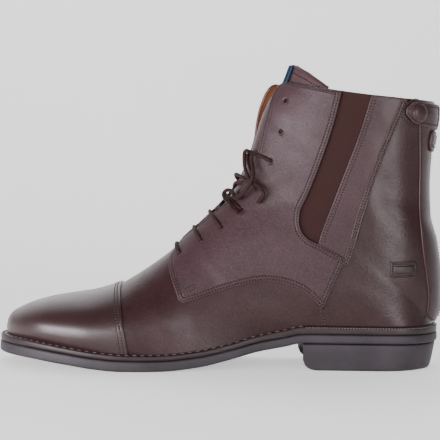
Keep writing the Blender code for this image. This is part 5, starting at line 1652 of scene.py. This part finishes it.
    def rear_facing(self, where: Lay, needle: Needle) -> None:
        """Leather between the gore and the slanted seam, with twin rows beside the gore."""
        form, side = self.form, where.value
        rear = bend(GORE_REAR)
        seam = bend(SEAM_LINE)[::-1]
        outline = form.trace(np.concatenate([rear, [(75.0, 77.0)], seam]), side, 0.4)
        piece = Panel(f"rear_facing_{where.name.lower()}", where, outline, 0.0, 0.42, -0.5, 1.6, 0.35).build(
            form, [self.wardrobe.plain])
        for distance in (1.25, 3.3):
            needle.row(where, form.trace(shift(rear, distance * -1.0)[2:-3], side, 0.4, 25.8), 0.42)

    def strips(self, where: Lay, needle: Needle) -> None:
        """Narrow strip over the slanted seam, twin stitched, and the fly of the zip on the same side."""
        form, side = self.form, where.value
        label = where.name.lower()
        line = bend(SEAM_LINE)
        outline = form.trace(np.concatenate([shift(line, 2.1), shift(line, -2.1)[::-1]]), side, 1.2, 25.99)
        piece = Panel(f"seam_strip_leather_{label}", where, outline, LAYER_GAP, 0.85, -0.1, 1.2, 0.5).build(
            form, [self.wardrobe.trim])
        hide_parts(f"seam_strip_{label}")
        for distance in (-0.95, 0.95):
            needle.row(where, form.trace(shift(line, distance), side, 1.2, 25.85), 1.3)
        outer = form.back_trace(bend(BACK_SEAM), side, 1.3)
        outer = outer[outer[:, 0] > form.along(18.9)]
        foot = form.along(HEEL_BACK_ROW + 0.1)
        flare = bend([tuple(outer[-1]), (form.along(18.5), outer[-1, 1] * 0.92), (foot, outer[-1, 1] * 0.85)])
        rows = np.linspace(float(outer[0, 0]), foot, 30)[::-1]
        inner = np.stack([rows, np.full(30, -side * 4.1)], axis=1)
        outline = np.concatenate([outer, flare[1:], inner])
        piece = Panel(f"back_strip_leather_{label}", Lay.BACK, outline, 0.2, 0.75, -0.1, 1.4, 0.5).build(
            form, [self.wardrobe.trim])
        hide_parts(f"back_strip_{label}")
        path = np.concatenate([outer, flare[1:-1]]) + np.array([0.0, side * 1.3])
        needle.row(Lay.BACK, path, 0.97)
        needle.row(Lay.BACK, inner[1:-1] + np.array([0.0, -side * 1.3]), 0.97)
        needle.row(where, form.trace(bend(COUNTER_FLARE), side), 0.05)

    def tag(self, needle: Needle) -> None:
        """Blank stitched tag low on the lateral counter."""
        ring = np.array(LABEL)
        loop = self.form.trace(even(np.concatenate([ring, ring[:1]]), 1.2)[:-1], -1, 1.1)
        panel = Panel("tag_leather", Lay.LATERAL, loop, LAYER_GAP, 0.7, -0.1, 1.1, 0.5,
                      puff=lambda plane, edge: 0.22 * np.clip((edge - 2.4) / 0.5, 0, 1))
        piece = panel.build(self.form, [self.wardrobe.tag])
        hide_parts("heel_tab")
        centre = ring.mean(axis=0)
        inner = centre + (ring - centre) * (1 - 1.3 / np.array([9.0, 5.5]))
        path = self.form.trace(even(np.concatenate([inner, inner[:1]]), 1.0), -1, 1.1)
        needle.row(Lay.LATERAL, path, 1.15, 1.7)

    def tongue(self, needle: Needle) -> None:
        """Tongue behind the facings with its stitched top, and the plain woven tab on its front."""
        form = self.form
        u = np.linspace(-1, 1, 61)[None, :]
        v = np.linspace(0, 1, 130)[:, None]
        top_row = np.interp(np.abs(u), TONGUE_TOP[:, 0], TONGUE_TOP[:, 1])
        row = 10.4 + v * (top_row - 10.4)
        arc = np.abs(u) * np.interp(row, TONGUE_WIDTH[:, 0], TONGUE_WIDTH[:, 1])
        side = np.where(u <= 0, -1, 1) * np.ones_like(row)
        edge = np.minimum((top_row - row) * 6.2, (1 - np.abs(u)) * 34.0)
        drop = 0.7 - np.sqrt(0.49 - (0.7 - np.clip(edge, 0, 0.7)) ** 2)
        top = form.at(row, arc, side, TONGUE_OFFSET - drop, False).reshape(-1, 3)
        bottom = form.at(row, arc, side, TONGUE_OFFSET - 1.8, False).reshape(-1, 3)
        outward = form.read(row, arc, side)[1].reshape(-1, 3) * np.array([-1.0, 1.0, 1.0])
        piece = shell("tongue_leather", to_world(top), to_world(bottom), grid(130, 61),
                      [self.wardrobe.tongue, self.wardrobe.lining], {"edge": edge.ravel()},
                      under=1, wall=0, outward=outward, merge=True)
        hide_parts("tongue")
        for distance in (0.26, 0.60):
            share = np.linspace(-0.96, 0.96, 160)
            line_row = np.interp(np.abs(share), TONGUE_TOP[:, 0], TONGUE_TOP[:, 1]) - distance
            line_arc = np.abs(share) * np.interp(line_row, TONGUE_WIDTH[:, 0], TONGUE_WIDTH[:, 1])
            for sign in (-1, 1):
                chosen = share * sign >= 0
                path = np.stack([form.along(line_row[chosen]), line_arc[chosen]], axis=1)
                needle.row(Lay.LATERAL if sign < 0 else Lay.MEDIAL, path, TONGUE_OFFSET + 0.4)
        rows, arcs = np.meshgrid(np.linspace(25.6, 26.78, 22), np.linspace(-12.5, 3.5, 25), indexing="ij")
        sides = np.where(arcs <= 0, -1, 1)
        face = form.at(rows, np.abs(arcs), sides, TONGUE_OFFSET + 1.2, False).reshape(-1, 3)
        back = form.at(rows, np.abs(arcs), sides, TONGUE_OFFSET + 0.2, False).reshape(-1, 3)
        outward = form.read(rows, np.abs(arcs), sides)[1].reshape(-1, 3) * np.array([-1.0, 1.0, 1.0])
        fields = {"across": -arcs.ravel(), "along": form.along(rows).ravel()}
        piece = shell("tongue_tab_weave", to_world(face), to_world(back), grid(22, 25), [self.wardrobe.tab],
                      fields, outward=outward)
        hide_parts("tongue_tab")


@dataclass
class Closure:
    """Zip and its pull, the snap strap, and the laces with their loose tie."""

    form: Form
    wardrobe: Wardrobe
    upper: Upper

    def zip(self) -> None:
        """Tape and closed teeth up the back seam; the slider under the strap is the frame's own part."""
        form = self.form
        top, foot = form.row_at_back(172.0), form.row_at_back(34.0)
        rows = np.linspace(foot, top, 60)
        along = form.along(rows)
        near_edge = np.stack([along, np.full(60, 3.6)], axis=1)
        ring = np.concatenate([near_edge, near_edge[::-1] * (1.0, -1.0)])
        panel = Panel("zip_tape_weave", Lay.BACK, ring, LAYER_GAP, 0.7, -0.1, 1.2, 0.2)
        tape = panel.build(form, [self.wardrobe.tape])
        pitch = 1.25
        count = int((along[-1] - along[0]) / pitch)
        places = along[0] + (np.arange(count) + 0.5) * pitch
        sway = np.where(np.arange(count) % 2 == 0, 0.55, -0.55)
        plane = np.stack([places, sway], axis=1)
        centre = form.lay(Lay.BACK, plane, 1.45)
        normal = form.outward(Lay.BACK, plane)
        ahead = form.lay(Lay.BACK, plane + np.array([0.5, 0.0]), 1.45) - centre
        ahead /= np.linalg.norm(ahead, axis=1, keepdims=True)
        side = np.cross(normal, ahead)
        corners = np.array([(a, b, c) for a in (-0.42, 0.42) for b in (-1.25, 1.25) for c in (-0.45, 0.45)])
        cubes = centre[:, None] + corners[None, :, :1] * ahead[:, None]
        cubes = cubes + corners[None, :, 1:2] * side[:, None]
        cubes = cubes + corners[None, :, 2:] * normal[:, None]
        box = np.array([(0, 1, 3, 2), (4, 6, 7, 5), (0, 4, 5, 1), (2, 3, 7, 6), (0, 2, 6, 4), (1, 5, 7, 3)])
        faces = (box[None] + (np.arange(count) * 8)[:, None, None]).reshape(-1, 4).tolist()
        teeth = keep("zip_teeth", to_world(cubes), faces, [self.wardrobe.metal],
                     smooth_faces=np.zeros(len(faces), bool), merge=False)
        for piece in (tape, teeth):
            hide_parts("zip")

    def pull(self, needle: Needle) -> None:
        """Leather pull that hangs beside the slider."""
        form = self.form
        high, low = form.along(form.row_at_back(158.4)), form.along(form.row_at_back(144.8))
        ring = bend([(high, 5.6), (high, 10.0), (high, 15.0), (high - 1.2, 16.0), (low + 2.0, 16.0),
                     (low + 0.4, 14.6), (low, 10.5), (low + 0.5, 6.0), (low + 2.0, 4.6), (high - 1.2, 4.6),
                     (high - 0.2, 5.2)], 0.8)
        panel = Panel("zip_pull_leather", Lay.BACK, ring, 1.4, 1.3, 1.4, 1.2, 0.5)
        piece = panel.build(form, [self.wardrobe.trim])
        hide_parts("zip_pull")
        path = np.array([(high - 1.5, 14.6), (low + 2.0, 14.6), (low + 1.6, 6.2), (high - 1.5, 6.0)])
        needle.row(Lay.BACK, even(path, 0.8), 3.2, 1.7)

    def strap(self, needle: Needle) -> None:
        """Padded strap round the back with a folded ridge, a stitched edge and its covered snap."""
        form = self.form
        low_row, high_row = form.row_at_back(159.8), form.row_at_back(176.2)
        low, high = form.along(low_row), form.along(high_row)
        middle = (low + high) / 2
        end = bend([(low, 32.0), (low + 0.3, 36.5), (low + 1.9, 40.0), (middle - 2.0, 41.8),
                    (middle + 2.0, 41.9), (high - 2.2, 40.8), (high - 0.5, 38.4), (high, 35.0)], 0.9)
        ring = np.concatenate([[(low, -30.0), (low, 0.0)], end, [(high, 0.0), (high, -30.0)]])
        ring = even(np.concatenate([ring, ring[:1]]), 0.9)[:-1]

        def puff(plane: Array, edge: Array) -> Array:
            """Padding that swells from the stitched edge, and the upright fold near the back."""
            swell = 0.55 * np.clip((edge - 2.0) / 2.5, 0, 1) * np.clip((plane[:, 1] - 4.0) / 8.0, 0, 1)
            ridge = 0.55 * np.exp(-(((plane[:, 1] - 8.5) / 1.0) ** 2))
            groove = 0.5 * np.exp(-(((plane[:, 1] - 11.0) / 0.9) ** 2))
            return swell + (ridge - groove) * np.clip((edge - 0.3) / 1.0, 0, 1)

        panel = Panel("strap_leather", Lay.BACK, ring, 1.5, 1.4, 1.5, 1.1, 0.7, puff=puff)
        piece = panel.build(form, [self.wardrobe.trim])
        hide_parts("strap")
        tip = shift(end, 1.35)
        foot, head = low + 1.35, high - 1.35
        path = np.concatenate([[(foot, -28.5), (foot, 28.0)], tip[1:-1], [(head, 31.0), (head, -28.5)]])
        needle.row(Lay.BACK, even(path, 0.8), 2.9, 1.8)
        row = float(form.row(middle))
        centre = form.lay(Lay.BACK, np.array([(middle, 32.5)]), 3.1)[0]
        axis = form.outward(Lay.BACK, np.array([(middle, 32.5)]))[0]
        first = np.cross(axis, (0.0, 0.0, 1.0))
        first /= np.linalg.norm(first)
        second = np.cross(axis, first)
        profile = np.array([(0.01, 1.95), (1.5, 1.88), (3.2, 1.64), (4.7, 1.20), (5.6, 0.65), (6.05, 0.10),
                            (6.1, -0.6), (4.0, -0.7), (0.01, -0.7)])
        turn = np.linspace(0, 2 * math.pi, 48, endpoint=False)
        out = np.cos(turn)[:, None] * first + np.sin(turn)[:, None] * second
        points = centre + profile[:, None, :1] * out[None] + profile[:, None, 1:] * axis
        piece = keep("snap_dome", to_world(points), grid(len(profile), 48, True).tolist(),
                     [self.wardrobe.trim], fields={"edge": np.full(points.shape[:2], 9.0)}, merge=True)
        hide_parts("snap_cap")
        LOG.info("snap at row %.2f", row)

    def laces(self) -> None:
        """Six bars that dive into their eyelets, the runs under the facings, and the loose tie."""
        form = self.form
        lateral, medial = self.upper.eyelets(-1), self.upper.eyelets(1)
        for k in range(LACED):
            (row_a, arc_a), (row_b, arc_b) = lateral[k], medial[k]
            row_b -= FAR_DROP[k]
            share = np.concatenate([[0.0, 0.0, 0.03, 0.07], np.linspace(0.12, 0.88, 11),
                                    [0.93, 0.97, 1.0, 1.0]])
            middle = BAR_LIFT - BAR_SAG * np.clip(1.0 - ((share[4:-4] - 0.5) / 0.3) ** 2, 0.0, 1.0)
            lift = np.concatenate([[-0.6, 0.9, 2.0, 2.4], middle, [2.4, 2.0, 0.9, -0.6]])
            row = row_a + share * (row_b - row_a)
            arc = arc_a - share * (arc_a + arc_b)
            path = form.at(row, np.abs(arc), np.where(arc >= 0, -1, 1), lift)
            piece = cord_piece(f"lace_cord_{k + 1}", bend(path, 0.8), LACE / 2, self.wardrobe.lace)
            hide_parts(f"lace_bar_{k + 1}")
        for k in range(LACED - 1):
            for side in (-1, 1):
                here, there = (lateral, medial) if side < 0 else (medial, lateral)
                (row_a, arc_a), (row_b, arc_b) = here[k], there[k + 1]
                if (k + (side > 0)) % 2:
                    continue
                share = np.linspace(0.02, 0.98, 14)
                row = row_a + share * (row_b - row_a)
                arc = (arc_a - share * (arc_a + arc_b)) * (1.0 if side < 0 else -1.0)
                path = form.at(row, np.abs(arc), np.where(arc >= 0, -1, 1), -1.35, False)
                cord_piece(f"lace_under_{k + 1}", bend(path, 0.9), LACE / 2, self.wardrobe.lace)
        self.tie("lace_end", TIE_END)
        self.tie("lace_loop", TIE_LOOP)

    def tie(self, node: str, knots: Array) -> None:
        """One free cord of the loose tie, a smooth cubic curve through its knots.

        Args:
            node: the frame's node.
            knots: s, z and lift of each point that it passes.
        """
        form = self.form
        found = form.find(knots[:, :2], -1, knots[:, 2])
        path = form.at(found[:, 0], found[:, 1], -1, knots[:, 2], False)
        ends = np.concatenate([[2 * path[0] - path[1]], path, [2 * path[-1] - path[-2]]])
        u = np.linspace(0, 1, 8, endpoint=False)[None, :, None]
        a, b, c, d = (ends[k:len(ends) - 3 + k, None] for k in range(4))
        square = (2 * a - 5 * b + 4 * c - d) * u**2
        cube = (3 * b - a - 3 * c + d) * u**3
        curve = (2 * b + (c - a) * u + square + cube) / 2
        route = even(np.concatenate([curve.reshape(-1, 3), path[-1:]]), 0.6)
        piece = cord_piece(f"{node}_cord", route, LACE / 2, self.wardrobe.lace)
        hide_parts(node)
        spine = to_world(route)


def main() -> None:
    """Build the studio and every sub-assembly in order."""
    logging.basicConfig(level=logging.INFO, format="%(name)s %(message)s")
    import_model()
    Studio().build()
    form = Form()
    wardrobe = Wardrobe()
    upper = Upper(form, wardrobe)
    closure = Closure(form, wardrobe, upper)
    closure.laces()
    needle = Needle(form)
    upper.skin()
    upper.toe_cap(needle)
    for where in (Lay.LATERAL, Lay.MEDIAL):
        upper.quarter(where, needle)
        upper.gore(where)
        upper.rear_facing(where, needle)
        upper.strips(where, needle)
    upper.tag(needle)
    upper.tongue(needle)
    closure.zip()
    closure.pull(needle)
    closure.strap(needle)
    needle.sew("stitching", wardrobe.thread, wardrobe.hole)
    welt_needle = Needle(form)
    Sole(wardrobe).build(welt_needle)
    welt_needle.sew("welt_stitching", wardrobe.welt_thread, wardrobe.hole)
    for item in bpy.data.objects:
        if item.name == "zip_slider":
            for slot in item.material_slots:
                slot.material = wardrobe.metal


if __name__ == "__main__":
    main()
